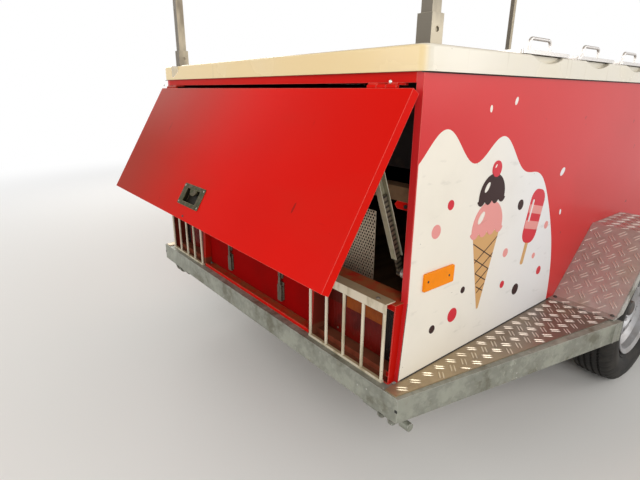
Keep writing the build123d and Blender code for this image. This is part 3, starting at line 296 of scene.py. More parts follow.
class Finish:
    """One node material whose colour is built up in layers."""

    def __init__(self, name, colour, roughness, metallic=0.0, coat=0.0, coat_roughness=0.08,
                 specular=0.5, edges=0.0):
        self.material = bpy.data.materials.new(name)
        self.material.use_nodes = True
        self.tree = self.material.node_tree
        self.shader = self.tree.nodes["Principled BSDF"]
        self.colour = (*colour, 1)
        for socket, value in (("Base Color", self.colour), ("Roughness", roughness),
                              ("Metallic", metallic), ("Coat Weight", coat),
                              ("Coat Roughness", coat_roughness), ("Specular IOR Level", specular)):
            self.shader.inputs[socket].default_value = value
        self.place = self.put("ShaderNodeTexCoord").outputs["Object"]
        self.own_normal = self.put("ShaderNodeNewGeometry").outputs["Normal"]
        self.normal = self.rounded_normal(edges) if edges else None

    def put(self, kind, inputs=None, **settings):
        """Add a node; inputs gives each socket a value or another node's output."""
        made = self.tree.nodes.new(kind)
        for key, value in settings.items():
            setattr(made, key, value)
        for key, value in (inputs or {}).items():
            if isinstance(value, bpy.types.NodeSocket):
                self.tree.links.new(value, made.inputs[key])
            else:
                made.inputs[key].default_value = value
        return made

    def noise(self, scale, detail=3.0, roughness=0.5, stretch=None):
        """Value from 0 to 1 of a noise, its scale in features per metre, stretched by axis."""
        place = self.place
        if stretch:
            place = self.put("ShaderNodeMapping", {"Vector": place, "Scale": stretch}).outputs[0]
        inputs = {"Vector": place, "Scale": scale, "Detail": detail, "Roughness": roughness}
        return self.put("ShaderNodeTexNoise", inputs).outputs["Fac"]

    def cells(self, scale, output="Distance"):
        """Output of a cell pattern."""
        return self.put("ShaderNodeTexVoronoi", {"Vector": self.place, "Scale": scale}).outputs[output]

    def ramp(self, value, start, stop):
        """Smooth step of a value: 0 at start and 1 at stop."""
        return self.put("ShaderNodeMapRange", {"Value": value, "From Min": start, "From Max": stop},
                        interpolation_type="SMOOTHSTEP").outputs["Result"]

    def math(self, first, second, operation="MULTIPLY"):
        """Two values put through one operation; some operations use only the first."""
        return self.put("ShaderNodeMath", {0: first, 1: second}, operation=operation).outputs[0]

    def wave(self, value, period):
        """Sine of a value, by its period."""
        return self.math(self.math(value, 2 * math.pi / period), 0.0, "SINE")

    def dot(self, first, second):
        """Dot product of two vectors."""
        inputs = {0: first, 1: second}
        return self.put("ShaderNodeVectorMath", inputs, operation="DOT_PRODUCT").outputs["Value"]

    def part(self, vector, axis):
        """One component of a vector."""
        return self.put("ShaderNodeSeparateXYZ", {0: vector}).outputs[axis]

    def from_middle(self):
        """Distance of the place from the trailer's middle plane."""
        return self.math(self.part(self.place, "Y"), 0.0, "ABSOLUTE")

    def facing(self, axis, start, stop):
        """Smooth step of the surface normal's component along X, Y or Z."""
        return self.ramp(self.part(self.own_normal, axis), start, stop)

    def along(self, axis, start, stop):
        """Smooth step of the place along X, Y or Z."""
        return self.ramp(self.part(self.place, axis), start, stop)

    def specks(self, cells, outer, inner, noise, start, stop):
        """Mask of small round spots of a cell pattern, kept where a noise is high."""
        spots = self.ramp(self.cells(cells), outer, inner)
        return self.math(spots, self.ramp(self.noise(noise), start, stop))

    def rounded_normal(self, radius):
        """The normal, rounded at sharp edges by a radius."""
        return self.put("ShaderNodeBevel", {"Radius": radius}, samples=4).outputs["Normal"]

    def edge_strip(self, radius):
        """Mask of a strip along sharp edges, where the rounded normal leaves the face's own."""
        return self.ramp(self.dot(self.rounded_normal(radius), self.own_normal), 0.99, 0.86)

    def inner_face(self):
        """Mask of a side wall's inner face, whose normal points across towards the middle."""
        return self.ramp(self.math(self.part(self.own_normal, "Y"), self.part(self.place, "Y")), -0.3, -0.6)

    def towards(self, centre):
        """Mask of the faces that look towards a centre, or its mirror image on the other side."""
        side = self.math(self.part(self.place, "Y"), 0.0, "SIGN")
        middle = self.put("ShaderNodeCombineXYZ",
                          {"X": centre[0], "Y": self.math(side, centre[1]), "Z": centre[2]}).outputs[0]
        reach = self.put("ShaderNodeVectorMath", {0: middle, 1: self.place}, operation="SUBTRACT").outputs[0]
        return self.ramp(self.dot(reach, self.own_normal), 0.002, 0.008)

    def layer(self, mask, colour, share=1.0):
        """Lay a share of a colour over what is there, by a mask."""
        # the mix node's factor and colours are its inputs 0, 6 and 7
        inputs = {0: self.math(mask, share), 6: self.colour, 7: (*colour, 1)}
        self.colour = self.put("ShaderNodeMix", inputs, data_type="RGBA").outputs[2]

    def patch(self, value, start, stop, colour, share=1.0):
        """Lay a share of a colour where a value passes from start to stop."""
        self.layer(self.ramp(value, start, stop), colour, share)

    def worn(self, mask, smooth, rough):
        """Roughness between two values, by a mask."""
        spread = self.put("ShaderNodeMapRange", {"Value": mask, "To Min": smooth, "To Max": rough})
        self.tree.links.new(spread.outputs["Result"], self.shader.inputs["Roughness"])

    def done(self, height=None, depth=0.0, strength=1.0):
        """Raise the surface by a height of up to a depth, join the sockets and return the material."""
        if height:
            inputs = {"Height": height, "Distance": depth, "Strength": strength}
            if self.normal:
                inputs["Normal"] = self.normal
            self.normal = self.put("ShaderNodeBump", inputs).outputs["Normal"]
        if isinstance(self.colour, bpy.types.NodeSocket):
            self.tree.links.new(self.colour, self.shader.inputs["Base Color"])
        if self.normal:
            self.tree.links.new(self.normal, self.shader.inputs["Normal"])
            if self.shader.inputs["Coat Weight"].default_value > 0:
                self.tree.links.new(self.normal, self.shader.inputs["Coat Normal"])
        return self.material


# Materials

def red_paint(name, colour, dust=0.85, brown=0.0, painted_inner_shade=False, hollow=None, gloss=0.04):
    """Satin red enamel: soft clouds, browner and darker to the left as a painted reflection and shade, with
    chips, scratches, pale edges that are wear and painted highlight, and dust.

    Faces that look towards a hollow's centre take painted shade, above a dusty sill, and side walls can take
    painted shade on their inner faces.
    """
    look = Finish(name, colour, 0.36, coat=gloss / 2, coat_roughness=0.16, specular=gloss, edges=0.0015)
    cloud = look.noise(2.4, 2)
    look.patch(cloud, 0.3, 0.75, shade(colour, 0.82), 0.35)
    # painted reflection and shade: browner and darker towards the left (+Y), by the brown share
    look.layer(look.along("Y", -0.25, 0.75), (0.31, 0.022, 0.007), brown)
    look.patch(look.noise(5, 3, stretch=(1, 0.5, 1.5)), 0.45, 0.85, (0.32, 0.045, 0.022), 0.12)
    look.layer(look.specks(55, 0.06, 0.035, 7, 0.56, 0.62), (0.06, 0.02, 0.015), 0.8)
    for stretch in ((1, 0.05, 1), (0.05, 1, 0.3)):
        scratch = look.ramp(look.noise(34, 5, stretch=stretch), 0.69, 0.72)
        few = look.ramp(look.noise(3.2, 1), 0.52, 0.6)
        look.layer(look.math(scratch, few), (0.10, 0.015, 0.012), 0.6)
    # pale edges: worn paint and a painted highlight along every sharp edge
    look.layer(look.edge_strip(0.0022), (0.88, 0.25, 0.20), 0.65)
    # painted shade on the inner faces of the side walls
    if painted_inner_shade:
        look.layer(look.inner_face(), (0.010, 0.006, 0.005), 0.97)
    grit = look.ramp(look.noise(26, 6), 0.2, 0.7)
    settled = look.math(look.facing("Z", 0.7, 0.98), look.math(grit, dust))
    look.layer(settled, (0.30, 0.10, 0.036))
    # painted shade on the faces that look into the lamp box's hollow
    if hollow:
        look.layer(look.towards(hollow), (0.095, 0.020, 0.012), 0.85)
        low_down = look.along("Z", PANEL_LOW + 0.040, PANEL_LOW + 0.032)
        sill = look.math(low_down, look.ramp(look.from_middle(), 0.668, 0.664))
        look.layer(sill, (0.155, 0.048, 0.024), 0.9)
    look.worn(look.math(look.math(cloud, 0.3), settled, "MAXIMUM"), 0.3, 0.65)
    return look.done(look.noise(45, 2), 0.0004, 0.1)


def galvanised(name="galvanised", base=(0.225, 0.232, 0.195), pale=0.5):
    """Hot-dip zinc gone grey-green: spangle, pale drips and spots, olive stains, worn bright edges."""
    look = Finish(name, base, 0.52, metallic=0.35, edges=0.0015)
    spangle = look.part(look.cells(90, "Color"), "X")
    look.patch(spangle, 0.4, 1.0, shade(base, 1.75), 0.35)
    blotch = look.noise(9, 8, 0.68)
    look.patch(blotch, 0.5, 0.62, shade(base, 1.7), pale)
    look.patch(blotch, 0.48, 0.36, (0.115, 0.108, 0.070), 0.75)
    look.patch(look.noise(26, 6, 0.7, (1, 1, 0.6)), 0.62, 0.68, shade(base, 2.0), 0.5)
    look.layer(look.specks(38, 0.12, 0.05, 5, 0.5, 0.6), (0.60, 0.60, 0.56), 0.7)
    look.layer(look.edge_strip(0.0025), (0.50, 0.50, 0.46), 0.55)
    look.patch(look.noise(14, 6, 0.65, (1, 1, 0.5)), 0.6, 0.75, (0.15, 0.095, 0.045), 0.45)
    look.worn(spangle, 0.42, 0.6)
    return look.done(look.noise(60, 4), 0.0006, 0.25)


def ratchet_steel():
    """Flat stay bar: browned steel with a row of cross notches, painted dark as their shade, between bright
    rubbed borders.

    Distance along the bar is the place's dot product with the stay's axis, which leans back in
    X and Z; a notch is where its sine is high, near the bar's middle.
    """
    look = Finish("ratchet_steel", (0.105, 0.085, 0.058), 0.42, metallic=0.6, specular=0.3)
    wave = look.wave(look.dot(look.place, (-math.sin(STAY_LEAN), 0.0, math.cos(STAY_LEAN))), NOTCH_PITCH)
    off_middle = look.math(look.math(look.from_middle(), STAY_PLANE, "SUBTRACT"), 0.0, "ABSOLUTE")
    notch = look.math(look.ramp(wave, 0.0, 0.5), look.ramp(off_middle, 0.0062, 0.0052))
    look.patch(off_middle, 0.0062, 0.0082, (0.27, 0.245, 0.165))
    # painted shade in the notches
    look.layer(notch, (0.018, 0.013, 0.009))
    look.patch(look.noise(40, 5), 0.5, 0.7, (0.055, 0.04, 0.026), 0.5)
    return look.done(look.math(notch, -1.0), 0.0008, 0.7)


def zinc():
    """Bright plated steel with a fine grain."""
    look = Finish("zinc", (0.42, 0.41, 0.38), 0.35, metallic=0.75, edges=0.0008)
    look.patch(look.noise(22, 5), 0.5, 0.75, (0.22, 0.19, 0.14), 0.55)
    return look.done(look.noise(160), 0.0002, 0.2)


def tread_metal(name, colour, golden, dull, crested=False):
    """Aluminium tread plate: golden towards the tail, mauve by the wheels, with grain, grime and dust.

    Crested metal keeps its bright colour, partly a painted highlight, where the piece's "crest" is 1, and
    takes painted shade at its foot.
    """
    look = Finish(name, colour, 0.4, metallic=0.6)
    look.layer(look.along("X", TAIL + 0.75, TAIL + 0.1), golden)
    # painted shade along the bars' feet, where the crest falls to 0
    if crested:
        crest = look.put("ShaderNodeAttribute", attribute_name="crest").outputs["Fac"]
        look.patch(crest, 0.6, 0.1, (0.075, 0.05, 0.036), 0.8)
    grain = look.noise(40, 5, stretch=(0.12, 1, 1))
    look.patch(grain, 0.45, 0.7, shade(colour, 0.75), 0.3)
    grime = look.noise(11, 6, 0.6)
    look.patch(grime, 0.46, 0.7, (0.18, 0.12, 0.075), dull)
    look.patch(look.noise(4, 5), 0.55, 0.75, (0.42, 0.33, 0.21), 0.35)
    look.worn(look.ramp(grime, 0.35, 0.75), 0.3, 0.58)
    return look.done(grain, 0.0003, 0.2)


def tyre_rubber():
    """Old black rubber with grey road dust."""
    look = Finish("tyre_rubber", (0.018, 0.017, 0.016), 0.72, specular=0.25)
    look.patch(look.noise(16, 6, 0.6), 0.4, 0.75, (0.065, 0.058, 0.048), 0.4)
    return look.done(look.noise(220, 3), 0.0003, 0.3)


def wheel_silver():
    """Silver wheel paint with dusty patches and a few rust specks."""
    look = Finish("wheel_silver", (0.40, 0.40, 0.41), 0.42, metallic=0.5, edges=0.001)
    look.patch(look.noise(18, 6), 0.45, 0.75, (0.24, 0.21, 0.18), 0.5)
    look.patch(look.cells(70), 0.06, 0.03, (0.14, 0.06, 0.03))
    return look.done(look.noise(90), 0.0003, 0.15)


def dark_iron():
    """Hub casting: dull, rough and slightly rusty."""
    look = Finish("dark_iron", (0.10, 0.095, 0.09), 0.65, metallic=0.6)
    look.patch(look.noise(30, 6), 0.45, 0.7, (0.16, 0.08, 0.045), 0.6)
    return look.done(look.noise(120, 4), 0.0005, 0.4)


def ivory_moulding():
    """Glossy ivory moulded top, painted yellow light on the rear faces and painted shade underneath, with
    faint dirt and hair scratches.
    """
    look = Finish("ivory_moulding", (0.74, 0.70, 0.60), 0.26, coat=0.2, coat_roughness=0.12,
                  specular=0.3, edges=0.002)
    # painted light: rear-facing faces tinted yellow
    look.layer(look.facing("X", -0.35, -0.95), (0.76, 0.60, 0.32))
    # painted shade: downward faces near black
    look.layer(look.facing("Z", -0.4, -0.8), (0.05, 0.045, 0.035))
    cloud = look.noise(4, 4)
    look.patch(cloud, 0.45, 0.75, (0.72, 0.63, 0.43), 0.3)
    look.patch(look.noise(30, 6, stretch=(1, 1, 0.06)), 0.66, 0.72, (0.42, 0.36, 0.24), 0.25)
    look.layer(look.specks(28, 0.035, 0.02, 5, 0.5, 0.55), (0.20, 0.15, 0.09))
    look.worn(look.ramp(cloud, 0.3, 0.8), 0.16, 0.34)
    return look.done(look.noise(7, 1), 0.002, 0.08)


def brushed_steel():
    """Brushed stainless sheet, its grain across the trailer."""
    look = Finish("brushed_steel", (0.66, 0.63, 0.60), 0.28, metallic=0.9, edges=0.0008)
    grain = look.noise(90, 4, stretch=(1, 0.02, 1))
    look.patch(grain, 0.35, 0.7, (0.50, 0.47, 0.45), 0.35)
    look.worn(grain, 0.18, 0.42)
    return look.done(grain, 0.0002, 0.15)


def guard_enamel():
    """Off-white enamel with tan streaks of dirt and small rusty chips."""
    look = Finish("guard_enamel", (0.64, 0.58, 0.45), 0.4, specular=0.3, edges=0.0008)
    look.layer(look.facing("Z", 0.6, 0.95), (0.36, 0.28, 0.16), 0.9)
    streak = look.noise(26, 6, 0.62, (1, 1, 0.3))
    look.patch(streak, 0.46, 0.66, (0.33, 0.27, 0.16), 0.7)
    look.layer(look.specks(110, 0.13, 0.08, 19, 0.52, 0.58), (0.12, 0.06, 0.03))
    return look.done(streak, 0.0003, 0.25)


def lens(name, colour, deep, depth, dusty, red_inner=False, rim=0.0):
    """Moulded lamp lens: upright flutes and clear gloss over a darker depth, with dust.

    The flutes are a sine across the trailer. An amber lens turns dark red on its inner part, and
    a lens with a rim is black further out than it.
    """
    look = Finish(name, colour, 0.22, coat=0.06, coat_roughness=0.06, specular=0.08)
    look.patch(look.noise(20, 4), 0.4, 0.7, deep, depth)
    if red_inner:
        look.patch(look.from_middle(), 0.476, 0.470, (0.075, 0.008, 0.004))
    if rim:
        look.patch(look.from_middle(), rim - 0.001, rim + 0.001, (0.008, 0.005, 0.005))
    look.patch(look.noise(70, 6), 0.55, 0.75, (0.10, 0.07, 0.04), dusty)
    return look.done(look.wave(look.part(look.place, "Y"), LENS_FLUTE), 0.0006, 0.35)


def post_paint():
    """Posts and bows: cream paint rubbed through to brown steel, with painted shade on the rear faces."""
    look = Finish("post_paint", (0.60, 0.53, 0.40), 0.45, specular=0.4, edges=0.0012)
    # painted shade: rear-facing faces darkened
    look.layer(look.facing("X", -0.3, -0.9), (0.058, 0.047, 0.032), 0.88)
    rubbed = look.noise(9, 6, stretch=(1, 1, 0.35))
    look.patch(rubbed, 0.5, 0.66, (0.14, 0.115, 0.085), 0.7)
    look.layer(look.edge_strip(0.002), (0.62, 0.56, 0.44), 0.5)
    return look.done(rubbed, 0.0004, 0.2)


def latch_metal():
    """Latch plate: olive, oiled and rubbed metal round a cup with painted shade inside."""
    look = Finish("latch_metal", (0.062, 0.052, 0.026), 0.5, metallic=0.2, specular=0.08, edges=0.0008)
    oil = look.noise(70, 4)
    look.patch(oil, 0.42, 0.62, (0.030, 0.040, 0.013), 0.75)
    look.patch(oil, 0.48, 0.34, (0.11, 0.083, 0.060), 0.6)
    out_axis = flap_axes()[2]
    plate = float(np.dot(HINGE, out_axis)) + FLAP_PROUD
    # painted shade inside the cup, below the plate's face
    look.patch(look.dot(look.place, tuple(out_axis)), plate + 0.0008, plate - 0.0025, (0.012, 0.010, 0.006))
    look.layer(look.edge_strip(0.0014), (0.36, 0.30, 0.17), 0.75)
    return look.done(oil, 0.0003, 0.3)


def toggle_metal():
    """Toggle latches: browned steel with pale edges, rubbed and painted highlight, and dark rust patches."""
    look = Finish("toggle_metal", (0.105, 0.085, 0.060), 0.45, metallic=0.6, edges=0.0006)
    rust = look.noise(80, 5)
    look.patch(rust, 0.45, 0.65, (0.045, 0.024, 0.014), 0.7)
    # pale edges: rubbed metal and a painted highlight
    look.layer(look.edge_strip(0.0012), (0.42, 0.38, 0.29), 0.8)
    return look.done(rust, 0.0005, 0.4)


def shade_painted_red():
    """Red enamel deep under the flap, painted dark as the shade there, with darker mottles, brown streaks and
    dust on what faces up.
    """
    # the base is the red darkened as painted shade under the flap
    look = Finish("shade_painted_red", (0.27, 0.002, 0.002), 0.7, specular=0.01, edges=0.0012)
    dark_mottle = look.noise(6, 5)
    look.patch(dark_mottle, 0.4, 0.75, (0.15, 0.004, 0.003), 0.5)
    look.patch(look.noise(16, 5, stretch=(1, 1, 0.15)), 0.58, 0.72, (0.12, 0.03, 0.015), 0.3)
    look.layer(look.facing("Z", 0.7, 0.98), (0.16, 0.06, 0.025), 0.7)
    return look.done(dark_mottle, 0.0004, 0.12)


def plain(name, colour, roughness, metallic=0.0, coat=0.0, dirt=(0.10, 0.075, 0.05)):
    """A plain moulded, painted or plated surface with light grime and a fine grain."""
    look = Finish(name, colour, roughness, metallic=metallic, coat=coat)
    grime = look.noise(15, 6, 0.6)
    look.patch(grime, 0.5, 0.75, dirt, 0.4)
    look.worn(grime, max(roughness - 0.12, 0.05), min(roughness + 0.15, 1.0))
    return look.done(look.noise(180, 3), 0.0003, 0.25)


def plywood():
    """Oiled ply, darkened partly as painted shade of the body's inside: long brown grain with darker streaks
    and stains.
    """
    # ply brown darkened below its own colour, partly painted shade
    look = Finish("plywood", (0.20, 0.125, 0.06), 0.65, specular=0.25)
    grain = look.noise(16, 7, 0.6, (0.07, 1, 1))
    look.patch(grain, 0.4, 0.68, (0.085, 0.048, 0.022), 0.75)
    look.patch(look.noise(3, 4), 0.45, 0.7, (0.05, 0.036, 0.022), 0.5)
    return look.done(grain, 0.0006, 0.3)


def vinyl(name, colour, fade=None, gloss=0.25):
    """Printed film on the side: satin, cooler to the front, with faint handling marks and specks."""
    look = Finish(name, colour, 0.32, coat=gloss / 2, coat_roughness=0.15, specular=gloss)
    if fade:
        look.layer(look.along("X", TAIL + 0.15, TAIL + 0.75), fade)
    grime = shade(colour, 0.55)
    look.patch(look.noise(5, 5), 0.48, 0.75, grime, 0.14)
    look.patch(look.noise(13, 6, stretch=(1, 1, 3)), 0.62, 0.72, shade(grime, 0.5), 0.16)
    look.layer(look.specks(30, 0.045, 0.025, 4.5, 0.5, 0.54), (0.05, 0.035, 0.03))
    return look.done(look.noise(12, 2), 0.001, 0.06)


def canopy_cloth(name, colour, valance):
    """Coated canopy cloth: a plain weave in the cloth's own map, another colour below the eaves, faded."""
    look = Finish(name, colour, 0.7, specular=0.3)
    look.layer(look.along("Z", EAVE - 0.0115, EAVE - 0.0125), valance)
    cloth_map = look.put("ShaderNodeUVMap", uv_map="cloth").outputs["UV"]
    weave = look.math(*(look.wave(look.part(cloth_map, axis), THREAD) for axis in ("X", "Y")))
    look.patch(look.noise(1.6, 4), 0.45, 0.75, (0.35, 0.28, 0.20), 0.12)
    look.patch(look.noise(9, 5, stretch=(1, 1, 0.2)), 0.55, 0.75, (0.25, 0.20, 0.14), 0.12)
    return look.done(weave, 0.0003, 0.35)


def make_finishes(chosen):
    """Make each material once, its main colours from the add-on's settings."""
    for carried in bpy.data.materials:
        carried.name = f"frame_{carried.name}"
    red = tuple(chosen.red)
    made = (
        # brown sets each red's share of painted reflection and shade towards the left
        red_paint("red_paint", red, brown=0.2),
        red_paint("flap_red", red, dust=0.3, brown=0.95, gloss=0.02),
        # the lamp boxes take the rear red at 0.7 of its brightness as painted shade of the recess under the
        # flap
        red_paint("shaded_box_red", shade(red, 0.7), dust=1.3, brown=0.3, hollow=tuple(LAMP_BOX_MIDDLE)),
        red_paint("side_red", tuple(chosen.side_red), dust=0.3, painted_inner_shade=True, gloss=0.2),
        shade_painted_red(), galvanised(), galvanised("bright_zinc", (0.40, 0.40, 0.375)), zinc(), ratchet_steel(),
        galvanised("stay_steel", (0.24, 0.22, 0.145), pale=0.35),
        tread_metal("tread_plate", (0.19, 0.145, 0.12), (0.40, 0.305, 0.185), 0.5),
        tread_metal("fender_plate", (0.46, 0.40, 0.37), (0.46, 0.40, 0.34), 0.4),
        # the bars are lighter than the plate: worn metal and a painted highlight
        tread_metal("tread_bar", (0.68, 0.58, 0.52), (0.74, 0.64, 0.46), 0.15, crested=True),
        tyre_rubber(), wheel_silver(), dark_iron(), ivory_moulding(), brushed_steel(), guard_enamel(),
        lens("red_lens", (0.125, 0.005, 0.003), (0.045, 0.002, 0.001), 0.7, 0.15, rim=LENS_RIM),
        lens("amber_lens", (0.30, 0.066, 0.006), (0.13, 0.022, 0.003), 0.7, 0.35, red_inner=True,
             rim=LENS_RIM),
        lens("reflector_lens", (0.88, 0.255, 0.003), (0.74, 0.19, 0.002), 0.4, 0.1),
        vinyl("film_cream", tuple(chosen.cream), fade=(0.775, 0.775, 0.785)),
        vinyl("film_red", (0.60, 0.012, 0.03)), vinyl("film_tan", (0.60, 0.34, 0.13)),
        vinyl("film_pink", (0.74, 0.29, 0.27)), vinyl("film_brown", (0.040, 0.018, 0.018), gloss=0.1),
        plywood(), latch_metal(), toggle_metal(), post_paint(),
        plain("black_plastic", (0.02, 0.02, 0.021), 0.42, coat=0.1),
        plain("bright_metal", (0.62, 0.60, 0.56), 0.25, metallic=0.95),
        plain("bolt_steel", (0.30, 0.28, 0.24), 0.4, metallic=0.7),
        plain("machine_grey", (0.030, 0.030, 0.030), 0.6),
        plain("foam_black", (0.020, 0.018, 0.016), 0.85),
        plain("vent_sheet", (0.46, 0.40, 0.29), 0.45, metallic=0.4, dirt=(0.20, 0.16, 0.10)),
        # flat black for bolts and screws, and for strips and patches of painted shadow and shade
        plain("bolt_black_and_painted_shade", (0.012, 0.011, 0.010), 0.7),
        canopy_cloth("canopy_cloth", (0.74, 0.68, 0.54), (0.52, 0.018, 0.013)),
    )
    FINISHES.update((material.name, material) for material in made)


# Which finish each carried-over node takes
NODE_FINISHES = {
    "galvanised": ("chassis_frame", "drawbar", "axle_beam", "swing_arms", "prop_brackets", "prop_leg_left",
                   "prop_leg_right", "jockey_tube", "jockey_fork"),
    "bright_zinc": ("fender_edges",),
    "ratchet_steel": ("stay_rod_left", "stay_rod_right"),
    "stay_steel": ("stay_channel_left", "stay_channel_right"),
    "zinc": ("coupling_head", "jockey_leg", "jockey_crank", "stay_foot_pins", "lid_hinges"),
    "toggle_metal": ("toggle_latches",),
    "flap_red": ("flap_panel", "flap_hinges"),
    "red_paint": ("rear_frame", "front_panel", "batten_brackets"),
    "shaded_box_red": ("lamp_boxes",),
    "shade_painted_red": ("service_panel",),
    "side_red": ("side_panel_left", "side_panel_right"),
    "tread_plate": ("platforms",),
    "fender_plate": ("fenders",),
    "wheel_silver": ("rim_left", "rim_right"),
    "dark_iron": ("hub_left", "hub_right"),
    "tyre_rubber": ("tyre_left", "tyre_right", "jockey_wheel"),
    "ivory_moulding": ("worktop",),
    "brushed_steel": ("lid_1", "lid_2", "lid_3", "lid_4", "tub_liner"),
    "guard_enamel": ("lamp_guards",),
    "red_lens": ("lamp_lenses_red",),
    "amber_lens": ("lamp_lenses_amber",),
    "reflector_lens": ("side_reflectors",),
    "plywood": ("body_floor", "cross_batten"),
    "black_plastic": ("lamp_housings", "coupling_handle"),
    "latch_metal": ("flap_latch",),
    "machine_grey": ("compressor",),
    "vent_sheet": ("vent_panel",),
    "post_paint": ("canopy_frame", "post_sockets"),
    "canopy_cloth": ("canopy_cover",),
}


# Settings

def length_setting(name, default, description):
    """A setting in metres."""
    return FloatProperty(name=name, default=default, description=description, unit="LENGTH")


def colour_setting(name, default, description):
    """A colour setting, as linear values."""
    return FloatVectorProperty(name=name, default=default, description=description, subtype="COLOR")


class TrailerSizes(bpy.types.PropertyGroup):
    """Sizes of what the scene adds to the frame."""

    tread_pitch: length_setting("Tread pitch", 0.0505, "Pitch of like pairs of tread bars")
    tread_length: length_setting("Bar length", 0.032, "Length of one tread bar")
    tread_width: length_setting("Bar width", 0.0052, "Width of one tread bar")
    tread_height: length_setting("Bar height", 0.0018, "How far a tread bar stands up")
    tread_gap: length_setting("Bar gap", 0.0098, "Distance between the two bars of a pair")
    groove_depth: length_setting("Groove depth", 0.0065, "Depth of the tyre's grooves")
    groove_waves: IntProperty(name="Groove waves", default=108, description="Zigzags around the tyre")
    hole_pitch: length_setting("Hole pitch", 0.0104, "Pitch of the vent's holes")
    hole_radius: length_setting("Hole radius", 0.0032, "Radius of a vent hole")
    film: length_setting("Film", 0.0004, "Thickness of one layer of side film")
    scallop: length_setting("Scallop", 0.16, "Length of one scallop of the valance")


class TrailerColours(bpy.types.PropertyGroup):
    """Main colours, as linear values."""

    red: colour_setting("Red", (0.64, 0.008, 0.004), "Enamel of the rear")
    side_red: colour_setting("Side red", (0.60, 0.020, 0.022), "Enamel of the sides")
    cream: colour_setting("Cream", (0.80, 0.755, 0.66), "Film of the side's wave")


def sizes():
    """The add-on's sizes."""
    return bpy.context.scene.trailer_sizes


# Tread plate

def tread_bar():
    """Template of one raised bar, along local X: a flat-topped ridge that tapers to its ends.

    Four stations along the bar each have four points, and half width and height fall to the ends.
    """
    length, width, height = sizes().tread_length, sizes().tread_width, sizes().tread_height
    rows = []
    for share, wide, tall in ((-0.5, 0.18, 0.1), (-0.3, 0.5, 1), (0.3, 0.5, 1), (0.5, 0.18, 0.1)):
        for side, level in ((-1, 0), (-0.48, 1), (0.48, 1), (1, 0)):
            rows.append((share * length, side * wide * width, level * tall * height - (1 - level) * 0.0002))
    return np.array(rows), grid_faces(4, 4, wrap_columns=True).tolist() + [[3, 2, 1, 0], [12, 13, 14, 15]]


def tread_places(width, depth):
    """Centres and turns of bars in pairs on a width x depth field.

    Pairs at 45 degrees stand on a square lattice of the pitch and pairs at 135 degrees at the
    middles of its cells. A pair's two bars stand half the gap to each side.
    """
    pitch = sizes().tread_pitch
    i, j = np.meshgrid(np.arange(int(width / pitch) + 2), np.arange(int(depth / pitch) + 2), indexing="ij")
    lattice = np.stack((i, j), -1).reshape(-1, 2) * pitch
    centre = np.vstack((lattice + 0.2 * pitch, lattice - 0.3 * pitch))
    turn = np.repeat((0.25, 0.75), len(lattice)) * np.pi
    side = np.stack((-np.sin(turn), np.cos(turn)), -1) * sizes().tread_gap / 2
    return np.vstack((centre + side, centre - side)), np.concatenate((turn, turn))


def inside(points, outline, margin):
    """Which points lie in a convex outline given anticlockwise, at least a margin from its edges."""
    kept = np.ones(len(points), bool)
    for start, stop in zip(outline, np.roll(outline, -1, axis=0)):
        edge = (stop - start) / np.linalg.norm(stop - start)
        offset = points - start
        kept &= edge[0] * offset[:, 1] - edge[1] * offset[:, 0] > margin
    return kept


def lay_tread(name, fields, margin):
    """One piece of bars on fields, each a convex outline in a plane, its origin and its axes.

    The piece's "crest" is 1 on the bars' tops and 0 along their feet, station by station.
    """
    shape = Shape()
    for outline, origin, axes in fields:
        outline = np.asarray(outline, float)
        centres, turns = tread_places(*np.ptp(outline, axis=0))
        centres = centres + outline.min(0)
        kept = inside(centres, outline, margin)
        centres = centres[kept]
        cosine = np.cos(turns[kept])[:, None]
        sine = np.sin(turns[kept])[:, None]
        axes = np.asarray(axes, float)
        along = cosine * axes[0] + sine * axes[1]
        across = cosine * axes[1] - sine * axes[0]
        upward = np.broadcast_to(axes[2], along.shape)
        places = origin + centres[:, :1] * axes[0] + centres[:, 1:] * axes[1]
        stamp(shape, tread_bar(), places, np.stack((along, across, upward), 1))
    piece = build(shape, name, "tread_bar")
    end = (0.0, 0.3, 0.3, 0.0)
    station = (0.0, 1.0, 1.0, 0.0)
    template = (*end, *station, *station, *end)
    crest = piece.data.attributes.new("crest", "FLOAT", "POINT")
    crest.data.foreach_set("value", np.tile(template, len(piece.data.vertices) // len(template)))


def platform_outline(side, end):
    """Corners of one deck plate's top in X and Y, anticlockwise, read from the frame's mesh."""
    mesh = NODES["platforms"].data
    points = np.zeros(len(mesh.vertices) * 3)
    mesh.vertices.foreach_get("co", points)
    points = points.reshape(-1, 3)
    chosen = points[(points[:, 1] * side > 0) & ((points[:, 0] - WHEEL[0]) * end > 0)][:, :2]
    chosen = np.unique(chosen.round(5), axis=0)
    middle = chosen.mean(0)
    return chosen[np.argsort(np.arctan2(chosen[:, 1] - middle[1], chosen[:, 0] - middle[0]))]


def fender_path():
    """Corners of a fender's top surface in X and Z, rear to front: the folds, a plate up."""
    start, _, base = low("fenders")
    stop, _, crown = high("fenders")
    shift = PLATE * math.tan(math.atan2(crown - PLATE - base, FENDER_RUN) / 2)
    return np.array((
        (start, base + PLATE),
        (start + FENDER_TAB - shift, base + PLATE),
        (start + FENDER_TAB + FENDER_RUN - shift, crown),
        (stop - FENDER_TAB - FENDER_RUN + shift, crown),
        (stop - FENDER_TAB + shift, base + PLATE),
        (stop, base + PLATE),
    ))


def fender_fields():
    """The five flat runs of each fender, as fields for tread."""
    path = fender_path()
    inner = high("fenders")[1] - FENDER_WIDTH
    for side, _ in SIDES:
        for start, stop in zip(path, path[1:]):
            run = np.linalg.norm(stop - start)
            along = np.array((stop[0] - start[0], 0, stop[1] - start[1])) / run
            outline = ((0, 0), (run, 0), (run, FENDER_WIDTH), (0, FENDER_WIDTH))
            axes = (along, (0, side, 0), (-along[2], 0, along[0]))
            yield outline, np.array((start[0], side * inner, start[1])), axes


# Tyres

